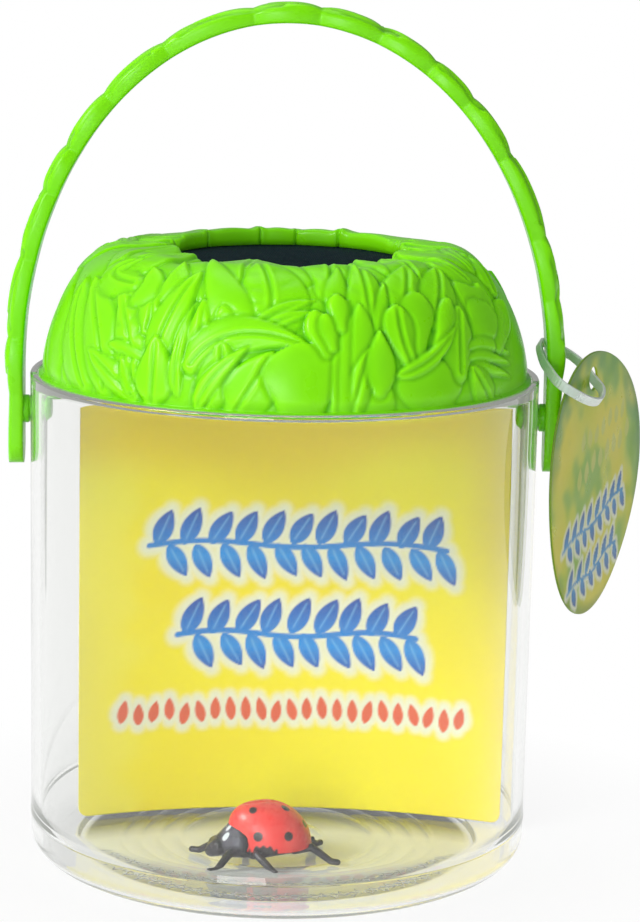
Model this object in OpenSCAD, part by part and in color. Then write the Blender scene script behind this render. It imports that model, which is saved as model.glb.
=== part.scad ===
// Bug catcher jar: a clear jar with a leaf-moulded vented lid, a swinging leaf-moulded handle,
// a hang tag on a nylon tie, a card insert and a toy ladybird.
// Origin on the jar's axis at the table, +Z up, -Y to the front, lengths in millimetres.

/* [Jar] */
// Outer radius of the jar at its rim
jar_r = 63.5; // [58:0.5:70]
// Height of the rim above the table
jar_h = 122.7; // [115:0.1:140]
// How much narrower the jar is at its base than at its rim
jar_draft = 0.4; // [0:0.1:1.5]
// Thickness of the wall below the lid's ledge
jar_wall = 2.5; // [2.2:0.1:3]
// Thickness of the rim above the ledge
rim_wall = 1.8; // [1.4:0.1:2]
// Depth of the lid's ledge below the rim
ledge_depth = 1.5; // [1.2:0.1:4]
// Thickness of the floor
floor_t = 2.2; // [1.6:0.1:4]
// Radius of the outer bottom edge
base_round = 5.9; // [3:0.1:8]

/* [Lid] */
// Height of the dome above the rim
dome_h = 31.8; // [27:0.1:36]
// Radius of the crest around the vent
crest_r = 39.5; // [38:0.1:42]
// Radius of the vent opening
vent_r = 28.2; // [22:0.1:30]
// Depth of the mesh below the crest
mesh_depth = 3.6; // [3.2:0.1:5]
// Height of the moulded leaves above the dome
leaf_relief = 1.6; // [0.6:0.1:2]
// Gap between the lid and the jar's rim and ledge
lid_clear = 0.3; // [0.2:0.05:0.5]
// Thickness of the mesh
mesh_t = 0.4; // [0.3:0.1:0.8]
// Thickness of the ring that holds the mesh
ring_t = 1.6; // [1:0.1:2]

/* [Handle] */
// Depth of the pivot below the rim
pivot_drop = 10.5; // [9.5:0.1:14]
// Height of the handle's apex above the pivot
handle_rise = 101.9; // [90:0.5:120]
// Gap between the jar and the handle's legs
handle_gap = 1.7; // [1.2:0.1:3]
// Thickness of the strap at its notches
strap_t = 3.8; // [3:0.1:5]
// Width of the strap across its leaves
strap_w = 12.4; // [10:0.1:14]
// Height of the strap's leaves above its notches
strap_relief = 1.2; // [0.4:0.1:1.6]
// Number of leaves along the arch
strap_leaves = 19; // [12:1:22]
// Radius of the pivot necks
neck_r = 2.45; // [2:0.05:2.8]
// Running gap between a neck and its hole
neck_clear = 0.05; // [0.02:0.01:0.1]

/* [Tag and tie] */
// Radius of the tag
tag_r = 33.4; // [24:0.1:34]
// Thickness of the tag's card
tag_t = 0.6; // [0.4:0.1:1]
// Radius of the tag's hole
tag_hole_r = 2.9; // [2.6:0.1:3.5]
// Turn of the tag away from the front, in degrees
tag_turn = 64.5; // [62:0.5:72]
// Width of the tie
tie_w = 2.4; // [1.6:0.1:2.6]
// Thickness of the tie
tie_t = 0.8; // [0.6:0.1:1.1]

/* [Card insert] */
// How much narrower the card is than the space at its edges
card_slack = 6.9; // [4:0.1:20]
// Height of the card
card_h = 113; // [90:0.5:114]
// Thickness of the card
card_t = 0.5; // [0.3:0.1:1]
// Bow of the card
card_bow = 11.5; // [6:0.5:14]

/* [Ladybird] */
// Length of the shell
shell_l = 20.4; // [16:0.1:24]
// Width of the shell
shell_w = 16.6; // [13:0.1:20]
// Height of the shell
shell_h = 11; // [9:0.1:14]
// Height of the shell's edge above the floor
shell_lift = 4.2; // [3.6:0.1:6]

/* [Hidden] */

// Segments of a round surface, overrun of a cut, and the gap under a loose piece
round_fn = 96;
cut = 1;
rest_gap = 0.3;

// Jar: radii at its levels, edges, and the sunk disc in its floor with two grooved rings
base_r = jar_r - jar_draft;
inner_r = jar_r - jar_wall;
inner_base_r = base_r - jar_wall;
rim_inner_r = jar_r - rim_wall;
ledge_z = jar_h - ledge_depth;
rim_round = 0.7;
inner_round = 2;
arc_steps = 6;
disc_in = 12.5;
disc_r = jar_r - disc_in;
disc_sink = 0.4;
groove_r = [25, 30];
groove_w = 1;
groove_d = 0.3;

// Lid: skirt, dome and the seat of the mesh
skirt_r = rim_inner_r - lid_clear;
skirt_z = ledge_z + lid_clear;
skirt_wall = 2.4;
dome_z = jar_h + lid_clear;
dome_r = rim_inner_r - leaf_relief - 0.4 * rim_round;
dome_n = 66;
dome_rows = 8;
hollow_rows = 4;
dome_power_share = 1.25;
dome_wall = 1.6;
crown_wall = 4;
lip_rise = 1;
lip_reach = 2.6;
lip_tips = 13;
lip_edge = 0.9;
mesh_z = dome_z + dome_h - mesh_depth;
seat_w = 7;
seat_r = vent_r + lip_reach + seat_w;
collar_wall = 1.4;
collar_h = mesh_t + ring_t + 0.5 * ring_t;
ring_clear = 0.2;
ring_w = 4.6;
ring_edge = 0.4;

// Leaves of the dome, each [azimuth, foot, length, half width, lean, bend, height]. Azimuth is a
// share of a half turn from the front, foot, length, width and bend are shares of the dome's
// slant, height is a share of the relief, and the lean is in degrees from upright towards the
// right. The pattern is repeated behind. The dome between leaves stands at ground_share.
slant = 1.25 * dome_h;
ground_share = 0.2;
leaf_bed = 0.8;
leaf_shares = [
    [-0.372, 0.06, 0.73, 0.198, -34, -0.02, 0.53], [-0.29, 0.05, 0.7, 0.167, -34, -0.03, 0.59],
    [-0.249, 0.07, 0.74, 0.167, -36, 0.07, 0.66], [-0.212, 0.24, 0.58, 0.164, -39, 0.15, 0.69],
    [-0.208, 0.08, 0.61, 0.14, -25, 0.08, 0.69], [-0.198, 0.04, 0.49, 0.089, -62, 0.02, 0.68],
    [-0.194, 0.42, 0.35, 0.106, -14, 0.02, 0.76], [-0.163, 0.54, 0.38, 0.108, -12, -0.01, 0.82],
    [-0.173, 0.28, 0.55, 0.123, 13, 0, 0.86], [-0.17, 0.03, 0.36, 0.138, -4, 0.01, 0.87],
    [-0.028, 0.47, 0.52, 0.231, -9, 0.06, 0.77], [-0.075, 0.43, 0.6, 0.138, -23, 0.04, 0.89],
    [-0.12, 0.26, 0.71, 0.133, 82, -0.13, 0.77], [-0.098, 0.03, 0.36, 0.132, 9, 0.04, 0.68],
    [-0.059, 0.03, 0.37, 0.16, 32, 0, 0.74], [0.019, 0.03, 0.35, 0.239, -3, 0.01, 0.87],
    [0.167, 0.49, 0.45, 0.177, 25, 0, 0.79], [0.221, 0.49, 0.42, 0.156, 33, 0.01, 0.76],
    [0.119, 0.43, 0.56, 0.139, 10, -0.03, 0.89], [0.082, 0.26, 0.35, 0.107, 14, 0.03, 0.82],
    [0.201, 0.03, 0.25, 0.265, -6, -0.01, 0.68], [0.243, 0.21, 0.37, 0.151, 21, -0.02, 0.78],
    [0.179, 0.33, 0.34, 0.122, 19, -0.02, 0.88], [0.312, 0.45, 0.26, 0.192, 38, -0.02, 0.79],
    [0.297, 0.31, 0.3, 0.178, 44, 0, 0.78], [0.339, 0.3, 0.36, 0.1, 51, 0.02, 0.76],
    [0.337, 0.7, 0.28, 0.127, -6, -0.03, 0.82], [0.391, 0.76, 0.49, 0.072, 62, -0.12, 0.82],
    [0.403, 0.58, 0.34, 0.114, 35, 0, 0.78]];
// Along a leaf, its rings, and across it its section, each [place, height, depth in its bed]
leaf_along_shares = [0.03, 0.25, 0.55, 0.82, 0.98];
leaf_section_shares = [[-1, 0, 1], [-0.86, 0.7, 0], [0, 1, 0], [0.86, 0.7, 0], [1, 0, 1]];

// Handle: the centre line is two upright legs joined by half an ellipse
pivot_z = jar_h - pivot_drop;
leg_x = jar_r + handle_gap + strap_t / 2;
leg_rise = 10.8;
paddle_drop = 13.8;
arch_z = pivot_z + leg_rise;
arch_rise = handle_rise - leg_rise - strap_relief - strap_t / 2;
notch_in = 1;
strap_edge = 0.6;
strap_crown = 0.3;
vein_d = 0.5;
leaf_ring_shares = [0.04, 0.2, 0.42, 0.7, 0.95];
paddle_shares = [0.01, 0.12, 0.35, 0.7, 1];
leg_ring_shares = [0.4, 0.75];
// Pivot studs: a shoulder outside the wall, a neck through it and a snap head inside
shoulder_r = 3.5;
shoulder_gap = 0.3;
head_r = 3.3;
head_tip_r = 2.1;
head_l = 1.6;
head_gap = 0.35;

// Tag: the place of its hole, and its egg outline about a centre below and beside the hole
tag_out = 13.5;
tag_up = 10.3;
tag_hole_x = jar_r + tag_out;
tag_hole_z = pivot_z + tag_up;
tag_centre_u = 4.4;
tag_centre_v = -26.2;
tag_egg = 1.5;
tag_egg_turn = 108;
tag_n = 72;

// Tie: a closed band round the handle's leg and through the tag's hole. Its points are
// measured from the leg's inner face at the height of the tag's hole.
tie_points = [
    [-1.3, -4, 5], [-1.8, 4.4, 7.2], [0, 9.2, 7.4], [4.6, 9.2, 5.6], [8.6, 5.4, 3.4],
    [11.8, 0, 0], [13.8, -4, -2.4], [12.8, -9.8, -4], [9.8, -15.6, -3.2], [5.4, -19.4, -0.7],
    [1.6, -17.4, 1.6], [-0.3, -10.6, 3.6]];
tie_steps = 5;

// Card: its edges' distance behind the axis, its corners, and its arc, cut from a longer arc
card_y = 10;
card_corner = 2.6;
card_turn_share = 1.05;
card_edge_x = sqrt(pow(inner_base_r - rest_gap, 2) - card_y * card_y);
card_w = 2 * card_edge_x - card_slack;
card_arc_r = (card_w * card_w / 4 + card_bow * card_bow) / (2 * card_bow);
card_half = asin(card_w / 2 / card_arc_r);

// Ladybird: its place on the floor, its shell's rings and its body's balls
bug_x = -1.5;
bug_y = -20;
bug_turn = 195;
shell_n = 24;
shell_rings = 8;
shell_lean = 0.6;
shell_gap = 0.15;
ball_fn = 10;
foot_r = 0.7;
knee_r = 0.95;
hip_r = 1.2;

// Shared functions

// Point at a radius and height, at an azimuth from the front towards the right
function around(r, az, z) = [r * sin(az), -r * cos(az), z];

// Points of an arc in the plane about a centre
function arc(centre, r, from, to) =
    [for (i = [0:arc_steps]) let (a = from + (to - from) * i / arc_steps)
        centre + r * [cos(a), sin(a)]];

// Vector of length one along a vector
function unit(v) = v / norm(v);

// Loft through rings of equal count, right-handed about the way from one to the next
module loft(rings, closed = false) {
    m = len(rings);
    n = len(rings[0]);
    spans = closed ? m : m - 1;
    sides = [for (i = [0:spans - 1], j = [0:n - 1])
        let (k = (i + 1) % m, l = (j + 1) % n)
        each [[i * n + j, k * n + j, i * n + l], [i * n + l, k * n + j, k * n + l]]];
    caps = closed ? [] : [[for (j = [0:n - 1]) j], [for (j = [n - 1:-1:0]) (m - 1) * n + j]];
    polyhedron(points = [for (ring = rings) each ring], faces = concat(sides, caps));
}

// Jar

module jar_profile() {
    polygon(concat(
        [[0, 0]],
        arc([base_r - base_round, base_round], base_round, -90, 0),
        arc([jar_r - rim_round, jar_h - rim_round], rim_round, 0, 90),
        [[rim_inner_r, jar_h], [rim_inner_r, ledge_z], [inner_r, ledge_z]],
        arc([inner_base_r - inner_round, floor_t + inner_round], inner_round, 0, -90),
        [[disc_r, floor_t], [disc_r - disc_sink, floor_t - disc_sink], [0, floor_t - disc_sink]]));
}

module jar_body() {
    color([0.92, 0.95, 0.95, 0.35])
    difference() {
        rotate_extrude($fn = round_fn) jar_profile();
        translate([0, 0, pivot_z]) rotate([0, 90, 0])
            cylinder(r = neck_r + neck_clear, h = 2 * (jar_r + cut), center = true, $fn = round_fn);
        for (r = groove_r)
            translate([0, 0, floor_t - disc_sink - groove_d])
            difference() {
                cylinder(r = r + groove_w / 2, h = groove_d + cut, $fn = round_fn);
                translate([0, 0, -cut])
                    cylinder(r = r - groove_w / 2, h = groove_d + 3 * cut, $fn = round_fn);
            }
    }
}

// Lid

// Point over the plain dome at an azimuth and a rise along its slant, raised from it
function dome_point(az, rise, up) =
    let (t = 90 * min(1, rise / slant), r = crest_r + (dome_r - crest_r) * cos(t))
    around(r + up * cos(t), az,
        dome_z + (dome_h - leaf_relief) * pow(sin(t), dome_power_share) + up * sin(t));

// Section of a leaf at a share of its length
function leaf_ring(l, f) =
    let (half = l[3] * slant * pow(sin(180 * pow(f, 0.75)), 0.8),
         bend = 4 * l[5] * slant * f * (1 - f),
         top = leaf_relief * l[6] * (0.75 + 0.25 * f))
    [for (q = leaf_section_shares)
        let (u = f * l[2] * slant, v = bend + q[0] * half,
             rise = max(0, l[1] * slant + u * cos(l[4]) - v * sin(l[4])),
             r = crest_r + (dome_r - crest_r) * cos(90 * min(1, rise / slant)))
        dome_point(180 * l[0] + (u * sin(l[4]) + v * cos(l[4])) * 180 / (PI * r), rise,
            q[1] * top - q[2] * leaf_bed)];

// Outline of the leaf tips round the vent, 0 between tips and 1 at a tip
function tip_share(az) =
    pow(abs(sin(lip_tips * az / 2 + 25 * sin(az))), 0.7);

// Ring of the dome's outside at an angle from its foot, 0, to its crest, 90
function dome_ring(t) =
    [for (j = [0:dome_n - 1])
        let (az = 360 * j / dome_n,
             p = dome_point(az, slant * t / 90, leaf_relief * ground_share))
        p + [0, 0, lip_rise * tip_share(az) * pow(sin(t), 12)]];

// Ring round the vent, inside the crest, a little below the leaf tips' tops
function lip_ring(inset, drop) =
    [for (j = [0:dome_n - 1])
        let (az = 360 * j / dome_n)
        around(vent_r + lip_reach * (1 - tip_share(az)) + inset, az,
            dome_z + dome_h - leaf_relief + lip_rise * tip_share(az) - drop)];

function plain_ring(r, z) = [for (j = [0:dome_n - 1]) around(r, 360 * j / dome_n, z)];

// Ring of the dome's inside, from its crown, 90, to its foot, 0
function hollow_ring(t) =
    let (foot_r = dome_r - dome_wall, crown_r = crest_r + crown_wall)
    plain_ring(crown_r + (foot_r - crown_r) * cos(t),
        dome_z + (dome_h - crown_wall - leaf_relief) * pow(sin(t), dome_power_share));

module lid_shell() {
    loft(concat(
        [plain_ring(skirt_r, skirt_z), plain_ring(skirt_r, dome_z - lid_clear)],
        [for (i = [0:dome_rows]) dome_ring(90 * i / dome_rows)],
        [lip_ring(lip_edge, 0), lip_ring(0, lip_edge)],
        [[for (p = lip_ring(0, 0)) [p.x, p.y, mesh_z]]],
        [plain_ring(seat_r, mesh_z), plain_ring(seat_r, mesh_z - collar_h),
         plain_ring(seat_r + collar_wall, mesh_z - collar_h),
         plain_ring(seat_r + collar_wall, dome_z + dome_h - crown_wall - leaf_relief)],
        [for (i = [hollow_rows:-1:0]) hollow_ring(90 * i / hollow_rows)],
        [plain_ring(skirt_r - skirt_wall, skirt_z)]), closed = true);
}

module lid_dome() {
    color([0.42, 0.86, 0.06]) {
        lid_shell();
        for (side = [0, 1], l = leaf_shares)
            rotate([0, 0, 180 * side]) loft([for (f = leaf_along_shares) leaf_ring(l, f)]);
    }
}

module mesh_screen() {
    color([0.08, 0.1, 0.16])
    translate([0, 0, mesh_z - mesh_t])
        cylinder(r = seat_r - ring_clear, h = mesh_t, $fn = round_fn);
}

module mesh_ring() {
    color([0.3, 0.66, 0.06])
    translate([0, 0, mesh_z - mesh_t - ring_t])
    rotate_extrude($fn = round_fn)
        polygon([[seat_r - ring_clear - ring_w, 0], [seat_r - ring_clear - ring_edge, 0],
            [seat_r - ring_clear, ring_edge], [seat_r - ring_clear, ring_t],
            [seat_r - ring_clear - ring_w, ring_t]]);
}

// Handle

// Bulge of a leaf along the strap, quick at its start and slow to its end
function bulge_share(f) = pow(sin(180 * pow(f, 0.6)), 0.7);

// Section of the strap at a point, outward normal and half width, with its leaf's bulge
function strap_ring(p, out, half_w, bulge) =
    let (side = cross(cross([0, 1, 0], out), out),
         t_in = -strap_t / 2,
         t_edge = strap_t / 2 - strap_crown + 0.4 * strap_relief * bulge,
         t_top = strap_t / 2 + strap_relief * bulge,
         e = min(strap_edge, 0.4 * half_w))
    [for (q = [[t_edge, -half_w], [t_top, -0.55 * half_w], [t_top - vein_d * bulge, 0],
               [t_top, 0.55 * half_w], [t_edge, half_w], [t_in + e, half_w], [t_in, half_w - e],
               [t_in, e - half_w], [t_in + e, -half_w]])
        p + q[0] * out + q[1] * side];

function arch_ring(share, bulge) =
    let (a = 180 * (1 - share))
    strap_ring([leg_x * cos(a), 0, arch_z + arch_rise * sin(a)],
        unit([cos(a) / leg_x, 0, sin(a) / arch_rise]),
        strap_w / 2 - notch_in * (1 - bulge), bulge);

function leg_ring(side, z, half_w) = strap_ring([side * leg_x, 0, z], [side, 0, 0], half_w, 0);

// Rings of a leg, from the foot of its rounded paddle to the spring of the arch
function leg_rings(side) =
    let (half = strap_w / 2 - notch_in, foot = pivot_z - paddle_drop)
    concat(
        [for (s = paddle_shares) leg_ring(side, foot + half * s, half * sqrt(1 - pow(1 - s, 2)))],
        [for (s = leg_ring_shares) leg_ring(side, foot + half + (arch_z - foot - half) * s, half)]);

module pivot_stud() {
    rotate([0, 90, 0]) {
        translate([0, 0, jar_r + shoulder_gap])
            cylinder(r = shoulder_r, h = leg_x - jar_r - shoulder_gap, $fn = round_fn);
        translate([0, 0, inner_r - head_gap - head_l / 2])
            cylinder(r = neck_r, h = leg_x - inner_r + head_gap + head_l / 2, $fn = round_fn);
        translate([0, 0, inner_r - head_gap - head_l])
            cylinder(r1 = head_tip_r, r2 = head_r, h = head_l, $fn = round_fn);
    }
}

module handle() {
    left = leg_rings(-1);
    right = leg_rings(1);
    color([0.42, 0.86, 0.06]) {
        loft(concat(
            left,
            [for (i = [0:strap_leaves - 1], f = leaf_ring_shares)
                arch_ring((i + f) / strap_leaves, bulge_share(f))],
            [for (i = [len(right) - 1:-1:0]) right[i]]));
        translate([0, 0, pivot_z]) {
            pivot_stud();
            mirror([1, 0, 0]) pivot_stud();
        }
    }
}

// Tag and tie

module tag_outline() {
    polygon([for (i = [0:tag_n - 1])
        let (a = 360 * i / tag_n, r = tag_r + tag_egg * cos(3 * (a + tag_egg_turn)))
        [tag_centre_u + r * cos(a), tag_centre_v + r * sin(a)]]);
}

module hang_tag() {
    color([0.5, 0.66, 0.32])
    translate([tag_hole_x, 0, tag_hole_z]) rotate([90, 0, tag_turn])
    linear_extrude(height = tag_t, center = true)
    difference() {
        tag_outline();
        circle(r = tag_hole_r, $fn = round_fn);
    }
}

// Point on a smooth closed curve through the tie's points
function tie_point(i, f) =
    let (n = len(tie_points), p0 = tie_points[(i + n - 1) % n], p1 = tie_points[i],
         p2 = tie_points[(i + 1) % n], p3 = tie_points[(i + 2) % n])
    (2 * p1 + (p2 - p0) * f + (2 * p0 - 5 * p1 + 4 * p2 - p3) * f * f
        + (3 * p1 - p0 - 3 * p2 + p3) * f * f * f) / 2;

module tag_tie() {
    n = len(tie_points);
    count = n * tie_steps;
    foot = [jar_r + handle_gap, 0, tag_hole_z];
    path = [for (i = [0:n - 1], k = [0:tie_steps - 1]) foot + tie_point(i, k / tie_steps)];
    centre = [for (p = path) 1] * path / count;
    color([0.86, 0.9, 0.86, 0.8])
    loft([for (i = [0:count - 1])
        let (way = unit(path[(i + 1) % count] - path[(i + count - 1) % count]),
             wide = unit(cross(way, path[i] - centre)),
             thin = cross(wide, way),
             w = tie_w / 2, t = tie_t / 2, e = tie_t / 4)
        [for (q = [[w, e - t], [w, t - e], [w - e, t], [e - w, t],
                   [-w, t - e], [-w, e - t], [e - w, -t], [w - e, -t]])
            path[i] + q[0] * wide + q[1] * thin]], closed = true);
}

// Card insert

module card_outline() {
    c = card_corner;
    translate([0, c]) polygon(concat(
        arc([card_w / 2 - c, 0], c, -90, 0),
        arc([card_w / 2 - c, card_h - 2 * c], c, 0, 90),
        arc([c - card_w / 2, card_h - 2 * c], c, 90, 180),
        arc([c - card_w / 2, 0], c, 180, 270)));
}

module insert_card() {
    color([0.98, 0.86, 0.1])
    translate([card_edge_x - card_w / 2, card_y, floor_t + rest_gap])
    intersection() {
        translate([0, card_bow - card_arc_r, -cut]) rotate([0, 0, 90 - card_turn_share * card_half])
            rotate_extrude(angle = 2 * card_turn_share * card_half, $fn = round_fn)
            translate([card_arc_r - card_t, 0]) square([card_t, card_h + 2 * cut]);
        translate([0, card_bow + cut, 0]) rotate([90, 0, 0])
            linear_extrude(height = card_bow + 3 * cut) card_outline();
    }
}

// Ladybird, facing along its own +X

module on_floor() {
    translate([bug_x, bug_y, floor_t - disc_sink + rest_gap]) rotate([0, 0, bug_turn]) children();
}

// Dome of the shell, blunter at its front, grown by a gap
module shell_form(gap) {
    loft([for (i = [0:shell_rings])
        let (e = 87 * i / shell_rings)
        [for (j = [0:shell_n - 1])
            let (a = 360 * j / shell_n, c = pow(cos(e), 0.78 - 0.22 * cos(a)))
            [(shell_l / 2 + gap) * c * cos(a) + shell_lean * (1 - c),
             (shell_w / 2 + gap) * c * sin(a) * (1 - 0.12 * cos(a)),
             shell_lift - gap + (shell_h + 2 * gap) * sin(e)]]]);
}

module ladybird_shell() {
    color([0.88, 0.16, 0.12]) on_floor() shell_form(0);
}

module ball(p, r) {
    translate(p) sphere(r = r, $fn = ball_fn);
}

module limb(p, q, r1, r2) {
    hull() {
        ball(p, r1);
        ball(q, r2);
    }
}

// One leg, from the belly through the knee to the toe, on a side
module leg(side, hip_x, knee, foot) {
    limb([hip_x, side * 0.2 * shell_w, 0.8 * shell_lift], [knee.x, side * knee.y, shell_lift],
        hip_r, knee_r);
    limb([knee.x, side * knee.y, shell_lift], [foot.x, side * foot.y, foot_r], knee_r, foot_r);
    limb([foot.x, side * foot.y, foot_r],
        [foot.x + 0.1 * foot.x, side * 1.12 * foot.y, foot_r], foot_r, foot_r);
}

module ladybird_body() {
    l = shell_l / 2;
    w = shell_w / 2;
    color([0.1, 0.1, 0.12]) on_floor()
    difference() {
        union() {
            // Belly
            hull() {
                ball([-0.6 * l, 0, 0.85 * shell_lift], 0.5 * shell_lift);
                ball([0.5 * l, 0.35 * w, 0.85 * shell_lift], 0.5 * shell_lift);
                ball([0.5 * l, -0.35 * w, 0.85 * shell_lift], 0.5 * shell_lift);
            }
            // Shield behind the head
            hull() {
                ball([0.85 * l, 0.36 * w, shell_lift + 0.16 * shell_h], 0.3 * shell_h);
                ball([0.85 * l, -0.36 * w, shell_lift + 0.16 * shell_h], 0.3 * shell_h);
                ball([0.8 * l, 0, shell_lift + 0.4 * shell_h], 0.28 * shell_h);
                ball([1.2 * l, 0, shell_lift + 0.05 * shell_h], 0.26 * shell_h);
            }
            // Head
            hull() {
                ball([1.35 * l, 0.14 * w, shell_lift + 0.04 * shell_h], 0.2 * shell_h);
                ball([1.35 * l, -0.14 * w, shell_lift + 0.04 * shell_h], 0.2 * shell_h);
                ball([1.5 * l, 0, shell_lift - 0.06 * shell_h], 0.14 * shell_h);
            }
            // Tail
            limb([-0.7 * l, 0, shell_lift], [-1.06 * l, 0, 1.1 * shell_lift], knee_r, foot_r);
            for (side = [-1, 1]) {
                leg(side, 0.7 * l, [1.15 * l, 0.62 * w], [1.6 * l, 1.05 * w]);
                leg(side, 0.45 * l, [0.55 * l, 0.95 * w], [0.22 * l, 1.5 * w]);
                leg(side, -0.5 * l, [-0.9 * l, 0.6 * w], [-1.35 * l, 0.85 * w]);
            }
        }
        shell_form(shell_gap);
        translate([0, 0, -shell_lift])
            cube([2 * shell_l + 2 * cut, 2 * shell_l, 2 * shell_lift], center = true);
    }
}

jar_body();
lid_dome();
mesh_screen();
mesh_ring();
handle();
tag_tie();
hang_tag();
insert_card();
ladybird_shell();
ladybird_body();
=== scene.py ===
"""Looks of a bug catcher jar, in metres in the CAD's frame: origin on the jar's axis at the table,
+Z up, -Y to the front. Sizes below are in millimetres, as in the CAD, and made metres once. Node
trees, lamps and the camera work in metres throughout."""

from math import copysign, cos, pi, radians, sin, sqrt

import bpy
import numpy as np
from mathutils import Matrix, Vector


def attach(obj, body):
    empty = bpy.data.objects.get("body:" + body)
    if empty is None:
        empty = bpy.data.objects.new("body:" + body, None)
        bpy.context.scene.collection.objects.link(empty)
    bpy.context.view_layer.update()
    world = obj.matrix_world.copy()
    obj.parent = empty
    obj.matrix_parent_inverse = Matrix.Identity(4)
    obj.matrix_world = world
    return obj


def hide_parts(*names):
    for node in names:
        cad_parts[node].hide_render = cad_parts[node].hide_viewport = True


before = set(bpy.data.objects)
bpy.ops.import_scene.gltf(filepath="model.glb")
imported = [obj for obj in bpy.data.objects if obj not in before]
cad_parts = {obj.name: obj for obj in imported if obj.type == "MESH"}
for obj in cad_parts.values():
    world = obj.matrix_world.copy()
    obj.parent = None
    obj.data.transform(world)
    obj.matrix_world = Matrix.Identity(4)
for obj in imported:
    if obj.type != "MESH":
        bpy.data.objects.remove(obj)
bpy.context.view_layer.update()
MM = 0.001

# Camera, light and floor

CAMERA_PLACE = (0, -0.70516, 0.23718)
CAMERA_YAW, CAMERA_PITCH, CAMERA_ROLL = 0.013, 0.192, 0.0203
SENSOR, FOCUS_IN_PIXELS, PICTURE_HEIGHT = 36, 2853.6, 922
FLOOR_HALF, FLOOR_DROP = 1600, 0.05


def add_object(name, data):
    made = bpy.data.objects.new(name, data)
    bpy.context.collection.objects.link(made)
    return made


def place_camera():
    """Camera at the photograph's place: 705 mm before the jar, looking 11 degrees down."""
    across, level = sin(CAMERA_YAW), cos(CAMERA_YAW)
    forward = Vector((across * cos(CAMERA_PITCH), level * cos(CAMERA_PITCH), -sin(CAMERA_PITCH)))
    right = Vector((level, -across, 0))
    up = right.cross(forward)
    c, s = cos(CAMERA_ROLL), sin(CAMERA_ROLL)
    data = bpy.data.cameras.new("photo_camera")
    data.sensor_width = SENSOR
    data.lens = FOCUS_IN_PIXELS * SENSOR / PICTURE_HEIGHT
    data.clip_start, data.clip_end = 0.05, 20
    camera = add_object("photo_camera", data)
    camera.matrix_world = Matrix.Translation(CAMERA_PLACE) @ Matrix(
        (right * c + up * s, up * c - right * s, -forward)).transposed().to_4x4()
    bpy.context.scene.camera = camera


place_camera()
bpy.context.scene.view_settings.view_transform = "Standard"


class Field:
    """What a node gives out, which can be reckoned with like a number."""

    def __init__(self, socket):
        self.socket = socket

    def reckon(self, operation, a, b=0):
        return field(self.socket.id_data, "Math", {0: a, 1: b}, operation=operation)

    def __add__(self, other):
        return self.reckon("ADD", self, other)

    def __radd__(self, other):
        return self.reckon("ADD", other, self)

    def __sub__(self, other):
        return self.reckon("SUBTRACT", self, other)

    def __rsub__(self, other):
        return self.reckon("SUBTRACT", other, self)

    def __mul__(self, other):
        return self.reckon("MULTIPLY", self, other)

    def __truediv__(self, other):
        return self.reckon("DIVIDE", self, other)

    def __gt__(self, other):
        return self.reckon("GREATER_THAN", self, other)

    def __lt__(self, other):
        return self.reckon("LESS_THAN", self, other)

    def __abs__(self):
        return self.reckon("ABSOLUTE", self)

    def most(self, other):
        return self.reckon("MAXIMUM", self, other)

    def root(self):
        return self.reckon("SQRT", self)


def node(tree, kind, inputs=None, **settings):
    """Adds a node: a shader node unless its kind says otherwise. Inputs are given by name or place,
    as values or fields."""
    made = tree.nodes.new(kind if "Node" in kind else "ShaderNode" + kind)
    for name, value in settings.items():
        setattr(made, name, value)
    for name, value in (inputs or {}).items():
        if isinstance(value, Field):
            tree.links.new(value.socket, made.inputs[name])
        else:
            made.inputs[name].default_value = value
    return made


def field(tree, kind, inputs=None, out=0, **settings):
    """Adds a node and gives one of its outputs, by name or place."""
    return Field(node(tree, kind, inputs, **settings).outputs[out])


def parts_of(place):
    """X, y and z of a place."""
    return [Field(out) for out in node(place.socket.id_data, "SeparateXYZ", {0: place}).outputs]


def length_of(place):
    return field(place.socket.id_data, "VectorMath", {0: place}, "Value", operation="LENGTH")


def ramp(value, low, high, to_low=0, to_high=1, **settings):
    return field(value.socket.id_data, "MapRange", {"Value": value, "From Min": low,
        "From Max": high, "To Min": to_low, "To Max": to_high}, **settings)


def light_path(tree):
    return {out.name: Field(out) for out in node(tree, "LightPath").outputs}


def seen_directly(path):
    """1 for rays from the camera, from a gloss or through clear plastic, 0 for diffuse light."""
    return path["Is Camera Ray"].most(path["Is Glossy Ray"].most(path["Is Transmission Ray"]))


def set_world():
    """White all round for the camera, plain soft grey for light, a dimmer side behind the camera,
    which the clear plastic's edges pick up, and a darker room in glosses, more so to the right."""
    world = bpy.data.worlds.new("studio")
    bpy.context.scene.world = world
    world.use_nodes = True
    tree = world.node_tree
    tree.nodes.clear()
    path = light_path(tree)
    x, y, _ = parts_of(field(tree, "TexCoord", out="Generated"))
    dim = ramp(y, -0.75, 0.55, 0.34, 1, interpolation_type="SMOOTHSTEP")
    right = ramp(x, -0.5, 0.8, 0.55, 0.85, interpolation_type="SMOOTHSTEP")
    shine = (dim * (1 - path["Is Glossy Ray"] * right)).most(path["Is Camera Ray"])
    seen = field(tree, "Background", {"Color": (1, 1, 1, 1), "Strength": shine})
    light = field(tree, "Background", {"Color": (1, 1, 1, 1), "Strength": 0.38})
    mixed = field(tree, "MixShader", {0: seen_directly(path), 1: light, 2: seen})
    node(tree, "OutputWorld", {0: mixed})


def add_lamp(name, place, aim_z, size, share):
    """Square soft lamp, aimed at a height on the jar's axis. Share is the light that it gives there,
    1 being a plainly lit white."""
    data = bpy.data.lights.new(name, "AREA")
    data.size = size
    way = Vector((0, 0, aim_z)) - Vector(place)
    data.energy = share * (pi * way.length) ** 2
    lamp = add_object(name, data)
    lamp.location = place
    lamp.rotation_euler = way.to_track_quat("-Z", "Y").to_euler()


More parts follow.
